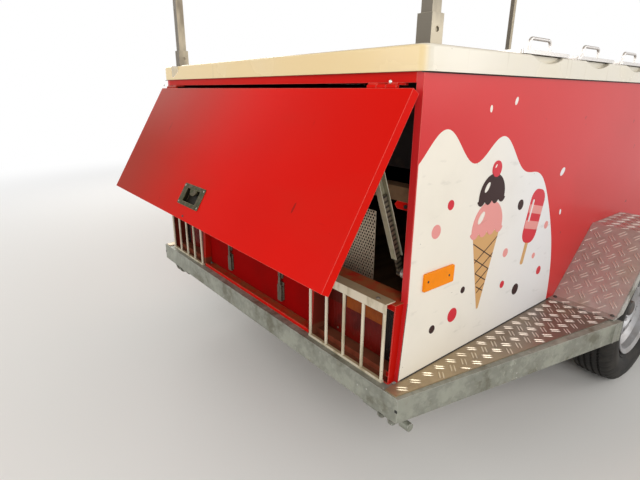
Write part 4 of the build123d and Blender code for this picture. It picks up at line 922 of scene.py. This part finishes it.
def build_tyre(label):
    """One tyre, a closed profile carried round its axle.

    Point (row, column) is at radius(row, angle) round the axle and at across(row) plus, on a
    groove's rows, a triangle wave of the angle; shoulder rows dip at each short cut.
    """
    box_low = low(f"tyre_{label}")
    box_high = high(f"tyre_{label}")
    middle = (box_low + box_high) / 2
    outer = (box_high[2] - box_low[2]) / 2 - 0.0004
    half = (box_high[1] - box_low[1]) / 2 - 0.001
    bead = high(f"rim_{label}")[2] - middle[2]
    depth = sizes().groove_depth
    # each row: across as a share of the half width, radius, share of the zigzag, share of a cut
    rows = [(-0.62, bead - 0.014, 0, 0), (-0.68, bead - 0.002, 0, 0), (-0.72, bead + 0.006, 0, 0),
            (-0.83, bead + 0.014, 0, 0), (-0.80, bead + 0.017, 0, 0), (-0.94, bead + 0.032, 0, 0),
            (-1.0, bead + 0.056, 0, 0), (-0.985, bead + 0.074, 0, 0), (-0.965, bead + 0.076, 0, 0),
            (-0.955, bead + 0.088, 0, 0), (-0.90, outer - 0.022, 0, 0.5), (-0.84, outer - 0.013, 0, 1),
            (-0.76, outer - 0.0065, 0, 1), (-0.66, outer - 0.003, 0.3, 0.6)]
    wall = rows[:]
    for centre in (-0.44, -0.15, 0.15, 0.44):
        crown = outer - 0.0022 * (centre / 0.44) ** 2
        rows += [(centre - 0.055, crown, 1, 0), (centre - 0.035, crown - depth, 1, 0),
                 (centre + 0.035, crown - depth, 1, 0), (centre + 0.055, crown, 1, 0)]
        if centre != 0.44:
            rows.append((centre + 0.145, outer - 0.0012 * (centre / 0.44) ** 2, 0, 0))
    rows += [(-across, radius, wave, cut) for across, radius, wave, cut in reversed(wall)]
    rows = np.array(rows)
    waves = sizes().groove_waves
    column = np.arange(4 * waves)
    angle = column * 2 * np.pi / len(column)
    zigzag = np.tile((0, 1, 0, -1), waves) * 0.0022
    cuts = np.where(column % 8 < 2, 0.0035, 0.0)
    across = rows[:, :1] * half + rows[:, 2:3] * zigzag
    radius = rows[:, 1:2] - rows[:, 3:4] * cuts
    points = np.stack((middle[0] + radius * np.cos(angle), middle[1] + across,
                       middle[2] + radius * np.sin(angle)), -1)
    shape = Shape()
    shape.add(points, grid_faces(len(rows), len(column), wrap_rows=True, wrap_columns=True))
    build(shape, f"tyre_tread_{label}", "tyre_rubber", body=f"wheel_{label}", smooth=38,
          replaces=(f"tyre_{label}",))


# Small fittings

def flap_axes():
    """The flap's axes: across to the left, down the flap, and outwards."""
    sine = math.sin(FLAP_OPEN)
    cosine = math.cos(FLAP_OPEN)
    return np.array(((0, 1, 0), (-sine, 0, -cosine), (-cosine, 0, sine)), float)


def flap_place(across, down, proud):
    """Point on the open flap: across to the left, down from its hinge and proud of it."""
    return HINGE + np.array((across, down, proud)) @ flap_axes()


def fit_fasteners():
    """Bolts, rivets and screws, each set on the face that carries it."""
    tab_height = low("fenders")[2] + PLATE
    tabs = (low("fenders")[0] + 0.027, high("fenders")[0] - 0.027)
    guard_top = high("lamp_guards")[2]
    guard_bolt = low("lamp_guards")[0] + 0.013
    batten_face = low("batten_brackets")[0]
    header_face = low("rear_frame")[0]
    lens_face = low("lamp_lenses_red")[0]
    lens_ends = (low("lamp_lenses_red")[2] + 0.012, high("lamp_lenses_amber")[2] - 0.012)
    # each set: name, finish, head, direction and places
    sets = (
        ("fender_bolts", "dark_iron", hexagon_head(0.0058, 0.0045), (0, 0, 1),
         [(x, side * y, tab_height) for x in tabs for y in (0.7165, 0.905) for side in BOTH]),
        ("guard_bolts", "bolt_steel", hexagon_head(0.0045, 0.0035), (0, 0, 1),
         [(guard_bolt, side * 0.640, guard_top) for side in BOTH]),
        ("rail_bolts", "bolt_steel", hexagon_head(0.0085, 0.009), (0, 0, -1),
         [(TAIL + 0.014, side * 0.523, RAIL_LOW) for side in BOTH]),
        ("batten_bolts", "bolt_black_and_painted_shade", dome(0.0052, 0.003), REARWARD,
         [(batten_face, side * y, 0.855) for y in (0.6507, 0.6647) for side in BOTH]),
        ("header_bolts", "bright_metal", dome(0.0045, 0.0025), REARWARD,
         [(header_face, side * 0.645, 1.1385) for side in BOTH]),
        ("lens_screws", "toggle_metal", dome(0.0035, 0.0016), REARWARD,
         [(lens_face, side * y, z) for y in (0.437, 0.648) for z in lens_ends for side in BOTH]),
    )
    for name, look, head, direction, places in sets:
        shape = Shape()
        stamp(shape, head, places, outward(direction))
        build(shape, name, look, smooth=40)


def fit_rivets():
    """Rivets along the fenders' slopes by the body, at even steps, and the reflectors' screws."""
    path = fender_path()
    rivets = Shape()
    for start, stop in ((path[1], path[2]), (path[3], path[4])):
        run = stop - start
        normal = (-run[1], 0, run[0])
        for share in (np.arange(5) + 0.5) / 5:
            x, z = start + share * run
            stamp(rivets, dome(0.003, 0.0014, 8), [(x, side * 0.7105, z) for side in BOTH], outward(normal))
    build(rivets, "fender_rivets", "bright_metal", smooth=40)
    screws = Shape()
    face = high("side_reflectors")[1]
    for side in BOTH:
        places = [(TAIL + 0.133, side * face, 0.669), (TAIL + 0.219, side * face, 0.666)]
        stamp(screws, dome(0.0034, 0.0014), places, outward((0, side, 0)))
    build(screws, "reflector_screws", "bolt_black_and_painted_shade", smooth=40)


def fit_latch():
    """Rivets at the latch plate's corners, and a small dark oval below it, painted as the shade in the
    keyhole slot.
    """
    middle = (low("flap_latch")[1] + high("flap_latch")[1]) / 2
    rivets = Shape()
    places = [flap_place(middle + across, LATCH_DOWN + down, FLAP_PROUD + 0.002)
              for across in (-0.067, 0.067) for down in (-0.028, 0.028)]
    stamp(rivets, dome(0.0034, 0.0018), places, flap_axes())
    build(rivets, "latch_rivets", "bolt_steel", body="flap", smooth=40)
    # painted shade: a dark oval where the keyhole slot is
    slot_shade = Shape()
    place = flap_place(middle, KEYHOLE_DOWN, FLAP_PROUD)
    stamp(slot_shade, prism(rounded(0.012, 0.0052, 0.0025), 0.0006), [place], flap_axes())
    build(slot_shade, "keyhole_shade_oval", "bolt_black_and_painted_shade", body="flap")


def side_axes(side):
    """Axes of a side's plane: forward, up, and out from the trailer."""
    return np.array(((1, 0, 0), (0, 0, 1), (0, side, 0)), float)


def fit_seals():
    """Black strips of painted shadow under the worktop's rim and along the body's foot, and dark patches of
    painted shade in the rail's drain holes.
    """
    # black strips as painted shadow lines under the worktop's rim and at the body's foot
    shadow_strips = Shape()
    body_rear = low("side_panel_left")[0]
    # each strip: start, stop, base, height and how proud it stands
    strips = ((body_rear + 0.006, BODY_FRONT - 0.002, PANEL_TOP - 0.0022, 0.0020, 0.0012),
              (body_rear + 0.010, low("fenders")[0] - 0.002, DECK, 0.0028, 0.0018),
              (high("fenders")[0] + 0.002, BODY_FRONT - 0.002, DECK, 0.0028, 0.0018))
    for side, _ in SIDES:
        for start, stop, base, tall, proud in strips:
            corners = ((start, base), (stop, base), (stop, base + tall), (start, base + tall))
            stamp(shadow_strips, prism(corners, proud), [(0, side * SIDE, 0)], side_axes(side))
    build(shadow_strips, "painted_shadow_strips", "bolt_black_and_painted_shade")
    # dark patches painted as the shade inside the rail's drain holes
    drains = Shape()
    places = [(TAIL, side * 0.7464, 0.370) for side in BOTH]
    stamp(drains, prism(rounded(0.008, 0.009, 0.001), 0.0003), places, outward(REARWARD))
    build(drains, "rail_drains", "bolt_black_and_painted_shade")


# Machine room

def perforated(width, height, pitch, radius):
    """Flat sheet of staggered rows of eight-sided holes, as points in local X, Y and faces.

    A cell is a rectangle of one pitch by 0.87 of it. Its eight border points are joined to the
    eight points round its hole, and odd rows stand half a cell over and end in plain half cells.
    """
    columns = round(width / pitch)
    rows = round(height / (pitch * math.sqrt(0.75)))
    cell = np.array((width / columns, height / rows))
    border = np.array(((-1, -1), (0, -1), (1, -1), (1, 0), (1, 1), (0, 1), (-1, 1), (-1, 0))) * cell / 2
    ring = arc_points(radius, np.radians(-135 + 45 * np.arange(8)))
    turn = np.arange(8)
    after = (turn + 1) % 8
    quads = np.stack((turn, after, after + 8, turn + 8), -1)
    row, column = np.meshgrid(np.arange(rows), np.arange(columns), indexing="ij")
    odd = row % 2 == 1
    kept = ~(odd & (column == columns - 1))
    centre = np.stack(((column + 0.5 + 0.5 * odd) * cell[0], (row + 0.5) * cell[1]), -1)[kept]
    points = (centre[:, None] + np.vstack((border, ring))).reshape(-1, 2)
    faces = (np.arange(len(centre))[:, None, None] * 16 + quads).reshape(-1, 4)
    odd_rows = np.arange(1, rows, 2)
    start = np.stack((0 * odd_rows, odd_rows * cell[1]), -1)[:, None]
    half = np.array(((0, 0), (0.5, 0), (0.5, 0.5), (0.5, 1), (0, 1))) * cell
    left = half + start
    right = (width, 0) + half * (-1, 1) + start
    ends = np.vstack((left.reshape(-1, 2), right[:, ::-1].reshape(-1, 2)))
    end_faces = (np.arange(len(ends)).reshape(-1, 5) + len(points)).tolist()
    return np.vstack((points, ends)), faces.tolist() + end_faces


def make_vent():
    """Perforated vent sheet, with a plain strip at its foot that turns forward along the floor."""
    rear, right, base = low("vent_panel")
    front, left, top = high("vent_panel")
    strip = base + 0.004
    fold = base + SHEET
    points, faces = perforated(left - right, top - strip, sizes().hole_pitch, sizes().hole_radius)
    sheet = Shape()
    sheet.add(np.column_stack((np.full(len(points), rear), left - points[:, 0], strip + points[:, 1])), faces)
    sheet.add([(x, y, fold) for x, y in ((rear, left), (rear, right), (front, right), (front, left))],
              [[0, 1, 2, 3]])
    sheet.add([(rear, left, fold), (rear, right, fold), (rear, right, strip), (rear, left, strip)],
              [[0, 1, 2, 3]])
    piece = build(sheet, "vent_sheet", "vent_sheet", replaces=("vent_panel",), closed=False)
    weld(piece, distance=0.00005)
    thicken(piece)


def make_jacket():
    """Foam jacket of the tub: an open box, in rings from its inner floor over the rim to its base."""
    gap = 0.0008
    inner = np.array((low("tub_liner")[:2] - gap, high("tub_liner")[:2] + gap))
    outer = inner + ((-0.030, -0.0095), (0.030, 0.030))
    base = low("tub_liner")[2] - gap
    rim = high("tub_liner")[2] - 0.004
    rings = []
    for box, height in ((inner, base), (inner, rim), (outer, rim), (outer, base - 0.030)):
        outline = rounded(*(box[1] - box[0]), 0.004) + box.mean(0)
        rings.append(np.column_stack((outline, np.full(len(outline), height))))
    count = len(rings[0])
    faces = grid_faces(len(rings), count, wrap_columns=True).tolist()
    faces += [list(range(count))[::-1], list(range(3 * count, 4 * count))]
    shape = Shape()
    shape.add(np.vstack(rings), faces)
    build(shape, "tub_jacket", "foam_black")


# Side film, drawn in metres from the tail and above the deck

WAVE_START = 0.0685
WAVE_REACH = 0.845
CONE_TIP = np.array((0.385, 0.105))
LOLLY_PLACE = np.array((0.648, 0.345))
LOLLY_LEAN = -0.22


def wave_height(x):
    """Height of the wave's crest above the deck at a distance from the tail.

    It is a quarter of a superellipse that falls to nothing at the wave's reach, with slow sine
    lobes that fade towards that end.
    """
    share = np.clip((x - WAVE_START) / (WAVE_REACH - WAVE_START), 0, 1)
    lobes = 0.045 * np.sin(2 * np.pi * (x - WAVE_START) / 0.26 - 0.7) * (1 - share ** 2)
    return np.maximum(0.585 * (1 - share ** 3.4) ** 0.5 + lobes, 0.0)


def scoop(centre, radius, lobes=4):
    """Outline of a ball of ice cream: most of a circle over a brim that drips in even lobes."""
    upper = arc_points(radius, np.linspace(-0.1, np.pi + 0.1, 40))
    share = np.linspace(0, 1, 12 * lobes + 1)
    drip = -0.15 * radius - 0.2 * radius * np.abs(np.sin(np.pi * lobes * share)) ** 0.7
    brim = np.column_stack((1.08 * radius * (2 * share - 1), drip))
    return np.vstack((upper, brim)) + centre


def cone_lines(half_width, height, thickness):
    """Outlines of the crossing lines of a wafer cone, each from one edge down to the other."""
    lines = []
    for share in (0.35, 0.55, 0.76, 0.98):
        for mirror in (-1, 1):
            start = np.array((-half_width * share, height * share))
            stop = np.array((half_width * share * 0.72, height * share * 0.72))
            corners = np.array((start, stop, stop + (0, thickness), start + (0, thickness)))
            lines.append(corners * (mirror, 1) + CONE_TIP)
    return lines


def ovals(flatness, rows):
    """Outlines of leaning ovals, each row its count of points, size, turn and centre."""
    return [turned(disc(size, steps) * flatness, angle, centre) for steps, size, angle, centre in rows]


def film_layers():
    """Name, finish, level and outlines of every layer of film above the wave's own."""
    cone = np.array(((-0.066, 0.236), (-0.004, 0.002), (0.004, 0.002), (0.066, 0.236))) + CONE_TIP
    stick_place = LOLLY_PLACE + turned([(0, -0.115)], LOLLY_LEAN, (0, 0))[0]
    stick = turned(rounded(0.019, 0.085, 0.008), LOLLY_LEAN, stick_place)
    lolly = turned(rounded(0.088, 0.172, 0.036, 8), LOLLY_LEAN, LOLLY_PLACE)
    stripes = [turned(rounded(0.086, 0.026, 0.003) + (0, shift), LOLLY_LEAN, LOLLY_PLACE)
               for shift in (-0.028, 0.022)]
    dots = {
        "red": ((0.262, 0.125, 0.021), (0.512, 0.150, 0.012), (0.205, 0.445, 0.013), (0.745, 0.140, 0.015)),
        "brown": ((0.175, 0.110, 0.012), (0.555, 0.395, 0.016), (0.300, 0.190, 0.010), (0.600, 0.110, 0.019)),
        "pink": ((0.155, 0.385, 0.018), (0.505, 0.255, 0.014), (0.690, 0.205, 0.010), (0.745, 0.300, 0.013)),
    }
    splashes = ovals((0.6, 1), ((20, 0.011, -0.4, (0.452, 0.690)), (20, 0.017, -0.9, (0.800, 0.470)),
                                (20, 0.010, 0.2, (0.835, 0.330)), (20, 0.009, 0.0, (0.335, 0.672))))
    shines = ovals((1, 0.45), ((16, 0.020, 0.9, CONE_TIP + (-0.038, 0.284)),
                               (16, 0.016, 0.9, CONE_TIP + (-0.026, 0.366)),
                               (16, 0.006, 0.8, CONE_TIP + (0.004, 0.420))))
    shines.append(turned(rounded(0.007, 0.07, 0.003), LOLLY_LEAN, LOLLY_PLACE + (-0.024, 0.022)))
    layers = [("splashes", "cream", 0, splashes)]
    layers += [(f"dots_{name}", name, 1, [disc(r, 24) + (x, z) for x, z, r in spots])
               for name, spots in dots.items()]
    return layers + [
        ("cone", "tan", 1, [cone]),
        ("cone_lines", "brown", 2, cone_lines(0.061, 0.216, 0.0035)),
        ("lolly_stick", "tan", 1, [stick]),
        ("lolly", "red", 2, [lolly]),
        ("lolly_stripes", "pink", 3, stripes),
        ("ball_pink", "pink", 3, [scoop(CONE_TIP + (0, 0.252), 0.074)]),
        ("ball_brown", "brown", 4, [scoop(CONE_TIP + (0.004, 0.338), 0.062)]),
        ("ball_red", "red", 5, [disc(0.022, 24) + CONE_TIP + (0.012, 0.412)]),
        ("shines", "cream", 6, shines),
    ]


def lay_film(side, label):
    """The film of one side, each layer against the side and as proud as its level."""

    def lay(name, look, level, outlines):
        shape = Shape()
        for outline in outlines:
            sheet = prism(outline, (level + 1) * sizes().film)
            stamp(shape, sheet, [(TAIL, side * SIDE, DECK)], side_axes(side))
        build(shape, f"{name}_{label}", look)

    x = WAVE_START + (WAVE_REACH - WAVE_START) * np.sin(np.linspace(0, np.pi / 2, 140))
    # the rear edge follows the panel's, which toes out below the lamp box's top
    foot = PANEL_LOW - DECK + 0.0045
    wave = [(low(f"side_panel_{label}")[0] - TAIL + 0.0025, foot), (WAVE_REACH, foot)]
    wave += list(zip(x[::-1], np.maximum(wave_height(x[::-1]), foot + 0.0005)))
    wave.append((WAVE_START, high("lamp_boxes")[2] - DECK))
    lay("side_wave", "film_cream", 0, [wave])
    # painted shadow: a black strip along the rear edge of the wave, where the panel's edge steps
    corner_shadow = [(wave[0][0] - 0.0021, foot), wave[0], wave[-1], (WAVE_START - 0.0021, wave[-1][1])]
    lay("corner_shadow_line", "bolt_black_and_painted_shade", 0, [corner_shadow])
    for name, colour, level, outlines in film_layers():
        lay(f"side_{name}", f"film_{colour}", level, outlines)


# Canopy

DROP = np.linspace(0, 1, 13)
COVER_INSET = 0.0015
HEM_CUT = 0.030
HEM_BULGE = 0.0035
BAY_SAG = 0.007
EDGE_RIPPLE = 0.0012


def hem(distance, length):
    """How far the hem is cut up: an even count of scallops, each a flattened sine."""
    count = max(round(length / sizes().scallop), 1)
    return HEM_CUT * (1 - np.abs(np.sin(np.pi * count * distance / length)) ** 0.8)


def flutter(distance, fade):
    """How far the hem bulges outwards: a sine of a scallop's length, faded towards the corners."""
    return HEM_BULGE * (1 + np.sin(2 * np.pi * distance / sizes().scallop)) * fade


def hang(shape, edge, fall, bulge, outwards):
    """Cloth from an edge's points straight down by each one's fall, bulging towards the hem.

    A point is edge - d * fall * Z + d ** 1.5 * bulge * outwards, for d from 0 to 1.
    """
    down = (DROP * fall[:, None])[:, :, None] * (0, 0, 1)
    out = (DROP ** 1.5 * bulge[:, None])[:, :, None] * outwards
    shape.add(edge[:, None] - down + out, grid_faces(len(edge), len(DROP)))


def sew_canopy():
    """The canopy: one curved sheet with sagging bays, gables and a scalloped valance.

    The top is an arc over the bows, X by rows and Y by columns, and lower between the bows.
    """
    rear, _, base = low("canopy_cover") + (COVER_INSET, 0, 0)
    front, half, crown = high("canopy_cover") - COVER_INSET
    length = front - rear
    rise = crown - EAVE
    radius = (half ** 2 + rise ** 2) / (2 * rise)
    reach = math.asin(half / radius)
    along = np.linspace(0, 1, 145)
    bend = np.linspace(-1, 1, 49)
    share, arc = np.meshgrid(along, bend, indexing="ij")
    sag = BAY_SAG * np.abs(np.sin(2 * np.pi * share)) ** 1.4 * (1 - arc ** 2) ** 0.5
    ripple = EDGE_RIPPLE * np.sin(9 * np.pi * share) * np.abs(arc) ** 6
    top = np.stack((rear + share * length, radius * np.sin(reach * arc),
                    crown - radius * (1 - np.cos(reach * arc)) - sag + ripple), -1)
    shape = Shape()
    shape.add(top, grid_faces(len(along), len(bend)))
    fade = (along * (1 - along)) ** 0.12
    for side, column in ((-1, 0), (1, -1)):
        hang(shape, top[:, column], EAVE - base - hem(along * length, length),
             flutter(along * length, fade), (0, side, 0))
    for end, row in ((-1, 0), (1, -1)):
        across = top[row, :, 1]
        fade = np.maximum(1 - (across / half) ** 2, 0) ** 0.2
        hang(shape, top[row], top[row, :, 2] - base - hem(across + half, 2 * half),
             flutter(across, fade), (end, 0, 0))
    piece = build(shape, "canopy_sheet", "canopy_cloth", replaces=("canopy_cover",),
                  closed=False)
    weld(piece, distance=0.0012)
    map_cloth(piece)
    thicken(piece)
    piece.data.shade_smooth()


def map_cloth(piece):
    """Give cloth a map in metres: along and across on top, along and down on the hanging parts."""
    mesh = piece.data
    layer = mesh.uv_layers.new(name="cloth")
    points = np.zeros(len(mesh.vertices) * 3)
    mesh.vertices.foreach_get("co", points)
    corners = np.zeros(len(mesh.loops), int)
    mesh.loops.foreach_get("vertex_index", corners)
    normals = np.zeros(len(mesh.polygons) * 3)
    mesh.polygons.foreach_get("normal", normals)
    totals = np.zeros(len(mesh.polygons), int)
    mesh.polygons.foreach_get("loop_total", totals)
    facing = np.repeat(np.argmax(np.abs(normals.reshape(-1, 3)), axis=1), totals)
    place = points.reshape(-1, 3)[corners]
    first = np.where(facing == 0, place[:, 1], place[:, 0])
    second = np.where(facing == 2, place[:, 1], place[:, 2])
    layer.data.foreach_set("uv", np.stack((first, second), -1).ravel())


# Stage

# The photograph's camera, fitted to the chassis corner, deck, flap and worktop
CAMERA_FROM_TAIL = Vector((-0.7324, -1.3456, 1.1161))
CAMERA_YAW = math.radians(50.91)
CAMERA_PITCH = math.radians(18.10)
CAMERA_ROLL = math.radians(0.565)
FOCAL_PIXELS = 452.35
PICTURE_WIDTH = 640
SENSOR = 36.0
FLOOR_HALF = 60.0


def add_object(name, data):
    """A new object of some data, in the scene."""
    made = bpy.data.objects.new(name, data)
    bpy.context.scene.collection.objects.link(made)
    return made


def set_floor():
    """A wide pale floor that fades into the white background with distance."""
    mesh = bpy.data.meshes.new("floor")
    corners = [(x * FLOOR_HALF, y * FLOOR_HALF, 0) for x, y in ((-1, -1), (1, -1), (1, 1), (-1, 1))]
    mesh.from_pydata(corners, [], [(0, 1, 2, 3)])
    floor = add_object("floor", mesh)
    pale = Finish("floor_pale", (0.80, 0.80, 0.79), 0.85, specular=0.2)
    distance = pale.put("ShaderNodeVectorMath", {0: pale.place}, operation="LENGTH").outputs["Value"]
    glow = pale.put("ShaderNodeEmission", {"Color": (1, 1, 1, 1), "Strength": 1.0}).outputs[0]
    far = pale.ramp(distance, 2.4, 7.0)
    blend = pale.put("ShaderNodeMixShader", {0: far, 1: pale.shader.outputs[0], 2: glow})
    pale.tree.links.new(blend.outputs[0], pale.tree.nodes["Material Output"].inputs["Surface"])
    mesh.materials.append(pale.done())


def set_world():
    """White behind what the camera, gloss and glass see, and a plain level of light elsewhere."""
    world = bpy.data.worlds.new("studio")
    bpy.context.scene.world = world
    world.use_nodes = True
    tree = world.node_tree
    tree.nodes.clear()
    path = tree.nodes.new("ShaderNodeLightPath")
    seen = path.outputs["Is Camera Ray"]
    for ray in ("Is Glossy Ray", "Is Transmission Ray"):
        either = tree.nodes.new("ShaderNodeMath")
        either.operation = "MAXIMUM"
        tree.links.new(seen, either.inputs[0])
        tree.links.new(path.outputs[ray], either.inputs[1])
        seen = either.outputs[0]
    mixed = tree.nodes.new("ShaderNodeMixShader")
    tree.links.new(seen, mixed.inputs[0])
    for number, colour, strength in ((1, (1.0, 0.97, 0.93, 1), 0.44), (2, (1, 1, 1, 1), 1.0)):
        background = tree.nodes.new("ShaderNodeBackground")
        background.inputs["Color"].default_value = colour
        background.inputs["Strength"].default_value = strength
        tree.links.new(background.outputs[0], mixed.inputs[number])
    tree.links.new(mixed.outputs[0], tree.nodes.new("ShaderNodeOutputWorld").inputs[0])


def set_lamps():
    """Large soft lamps around the trailer: where each stands, where it aims, its size and power."""
    for name, place, aim, size, power in (
        ("key", (-3.6, -3.4, 2.6), (-0.8, -0.3, 0.7), 2.6, 80.0),
        ("fill", (2.5, -4.5, 2.2), (0.2, -0.5, 0.7), 3.0, 62.0),
        ("back", (-1.0, 4.6, 2.8), (-0.2, 0.3, 0.8), 3.2, 80.0),
        ("rear", (-5.2, 1.6, 2.2), (-1.6, 0.2, 0.7), 2.4, 44.0),
    ):
        lamp = bpy.data.lights.new(name, "AREA")
        lamp.shape = "DISK"
        lamp.size = size
        lamp.energy = power
        lamp.color = (1.0, 0.975, 0.94)
        holder = add_object(name, lamp)
        holder.location = place
        holder.rotation_euler = (Vector(aim) - Vector(place)).to_track_quat("-Z", "Y").to_euler()


def set_camera():
    """Place the camera: forward from yaw and pitch, then turned about it by the roll."""
    forward = Vector((math.cos(CAMERA_YAW) * math.cos(CAMERA_PITCH),
                      math.sin(CAMERA_YAW) * math.cos(CAMERA_PITCH), -math.sin(CAMERA_PITCH)))
    right = forward.cross(Vector((0, 0, 1))).normalized()
    upward = right.cross(forward)
    turned_right = math.cos(CAMERA_ROLL) * right + math.sin(CAMERA_ROLL) * upward
    turned_up = -math.sin(CAMERA_ROLL) * right + math.cos(CAMERA_ROLL) * upward
    data = bpy.data.cameras.new("camera")
    data.sensor_fit = "HORIZONTAL"
    data.sensor_width = SENSOR
    data.lens = SENSOR * FOCAL_PIXELS / PICTURE_WIDTH
    data.clip_end = 200.0
    camera = add_object("camera", data)
    basis = Matrix((turned_right, turned_up, -forward)).transposed().to_4x4()
    camera.matrix_world = Matrix.Translation(Vector((TAIL, 0, 0)) + CAMERA_FROM_TAIL) @ basis
    bpy.context.scene.camera = camera
    bpy.context.scene.view_settings.view_transform = "Standard"


# Operators

class TRAILER_OT_finishes(bpy.types.Operator):
    """Make the materials and give each carried-over node its own."""
    bl_idname = "trailer.finishes"
    bl_label = "Finishes"

    def execute(self, context):
        make_finishes(context.scene.trailer_colours)
        for name, members in NODE_FINISHES.items():
            for node in members:
                for material_slot in NODES[node].material_slots:
                    material_slot.material = FINISHES[name]
        return {"FINISHED"}


class TRAILER_OT_tread(bpy.types.Operator):
    """Raise the pairs of bars on the deck plates and the fenders."""
    bl_idname = "trailer.tread"
    bl_label = "Tread plate"

    def execute(self, context):
        decks = [(platform_outline(side, end), (0, 0, DECK), np.eye(3)) for side, _ in SIDES for end in BOTH]
        lay_tread("deck_tread_bars", decks, 0.010)
        lay_tread("fender_tread_bars", fender_fields(), 0.009)
        return {"FINISHED"}


class TRAILER_OT_tyres(bpy.types.Operator):
    """Model the tyres with zigzag grooves, shoulder cuts and ringed side walls."""
    bl_idname = "trailer.tyres"
    bl_label = "Tyres"

    def execute(self, context):
        for _, label in SIDES:
            build_tyre(label)
        return {"FINISHED"}


class TRAILER_OT_fittings(bpy.types.Operator):
    """Fit the bolts, rivets and screws, and the black strips, patches and oval of painted shadow and shade.
    """
    bl_idname = "trailer.fittings"
    bl_label = "Fittings"

    def execute(self, context):
        fit_fasteners()
        fit_rivets()
        fit_latch()
        fit_seals()
        return {"FINISHED"}


class TRAILER_OT_machine_room(bpy.types.Operator):
    """Make the perforated vent sheet and the foam jacket round the cold tub."""
    bl_idname = "trailer.machine_room"
    bl_label = "Machine room"

    def execute(self, context):
        make_vent()
        make_jacket()
        return {"FINISHED"}


class TRAILER_OT_side_film(bpy.types.Operator):
    """Lay the film on both sides: a cream wave with a cone, a lolly, dots and splashes."""
    bl_idname = "trailer.side_film"
    bl_label = "Side film"

    def execute(self, context):
        for side, label in SIDES:
            lay_film(side, label)
        return {"FINISHED"}


class TRAILER_OT_canopy(bpy.types.Operator):
    """Sew the canopy's sheet."""
    bl_idname = "trailer.canopy"
    bl_label = "Canopy"

    def execute(self, context):
        sew_canopy()
        return {"FINISHED"}


class TRAILER_OT_stage(bpy.types.Operator):
    """Set the floor, the world, the lamps and the camera."""
    bl_idname = "trailer.stage"
    bl_label = "Stage"

    def execute(self, context):
        set_floor()
        set_world()
        set_lamps()
        set_camera()
        return {"FINISHED"}


class TRAILER_PT_panel(bpy.types.Panel):
    """Sidebar panel that lists the operators and the settings."""
    bl_idname = "TRAILER_PT_panel"
    bl_label = "Vending trailer"
    bl_space_type = "VIEW_3D"
    bl_region_type = "UI"
    bl_category = "Trailer"

    def draw(self, context):
        for operator in OPERATORS:
            self.layout.operator(operator.bl_idname)
        for group in (context.scene.trailer_sizes, context.scene.trailer_colours):
            for name in group.__annotations__:
                self.layout.prop(group, name)


OPERATORS = (TRAILER_OT_finishes, TRAILER_OT_tread, TRAILER_OT_tyres, TRAILER_OT_fittings,
             TRAILER_OT_machine_room, TRAILER_OT_side_film, TRAILER_OT_canopy, TRAILER_OT_stage)
CLASSES = (TrailerSizes, TrailerColours, *OPERATORS, TRAILER_PT_panel)


def register():
    """Register the classes and hang the settings on the scene."""
    for item in CLASSES:
        bpy.utils.register_class(item)
    bpy.types.Scene.trailer_sizes = PointerProperty(type=TrailerSizes)
    bpy.types.Scene.trailer_colours = PointerProperty(type=TrailerColours)


def unregister():
    """Take the settings and the classes away again."""
    del bpy.types.Scene.trailer_colours
    del bpy.types.Scene.trailer_sizes
    for item in reversed(CLASSES):
        bpy.utils.unregister_class(item)


def main():
    """Call the operators in order."""
    register()
    bpy.ops.trailer.finishes()
    bpy.ops.trailer.tread()
    bpy.ops.trailer.tyres()
    bpy.ops.trailer.fittings()
    bpy.ops.trailer.machine_room()
    bpy.ops.trailer.side_film()
    bpy.ops.trailer.canopy()
    bpy.ops.trailer.stage()


if __name__ == "__main__":
    main()
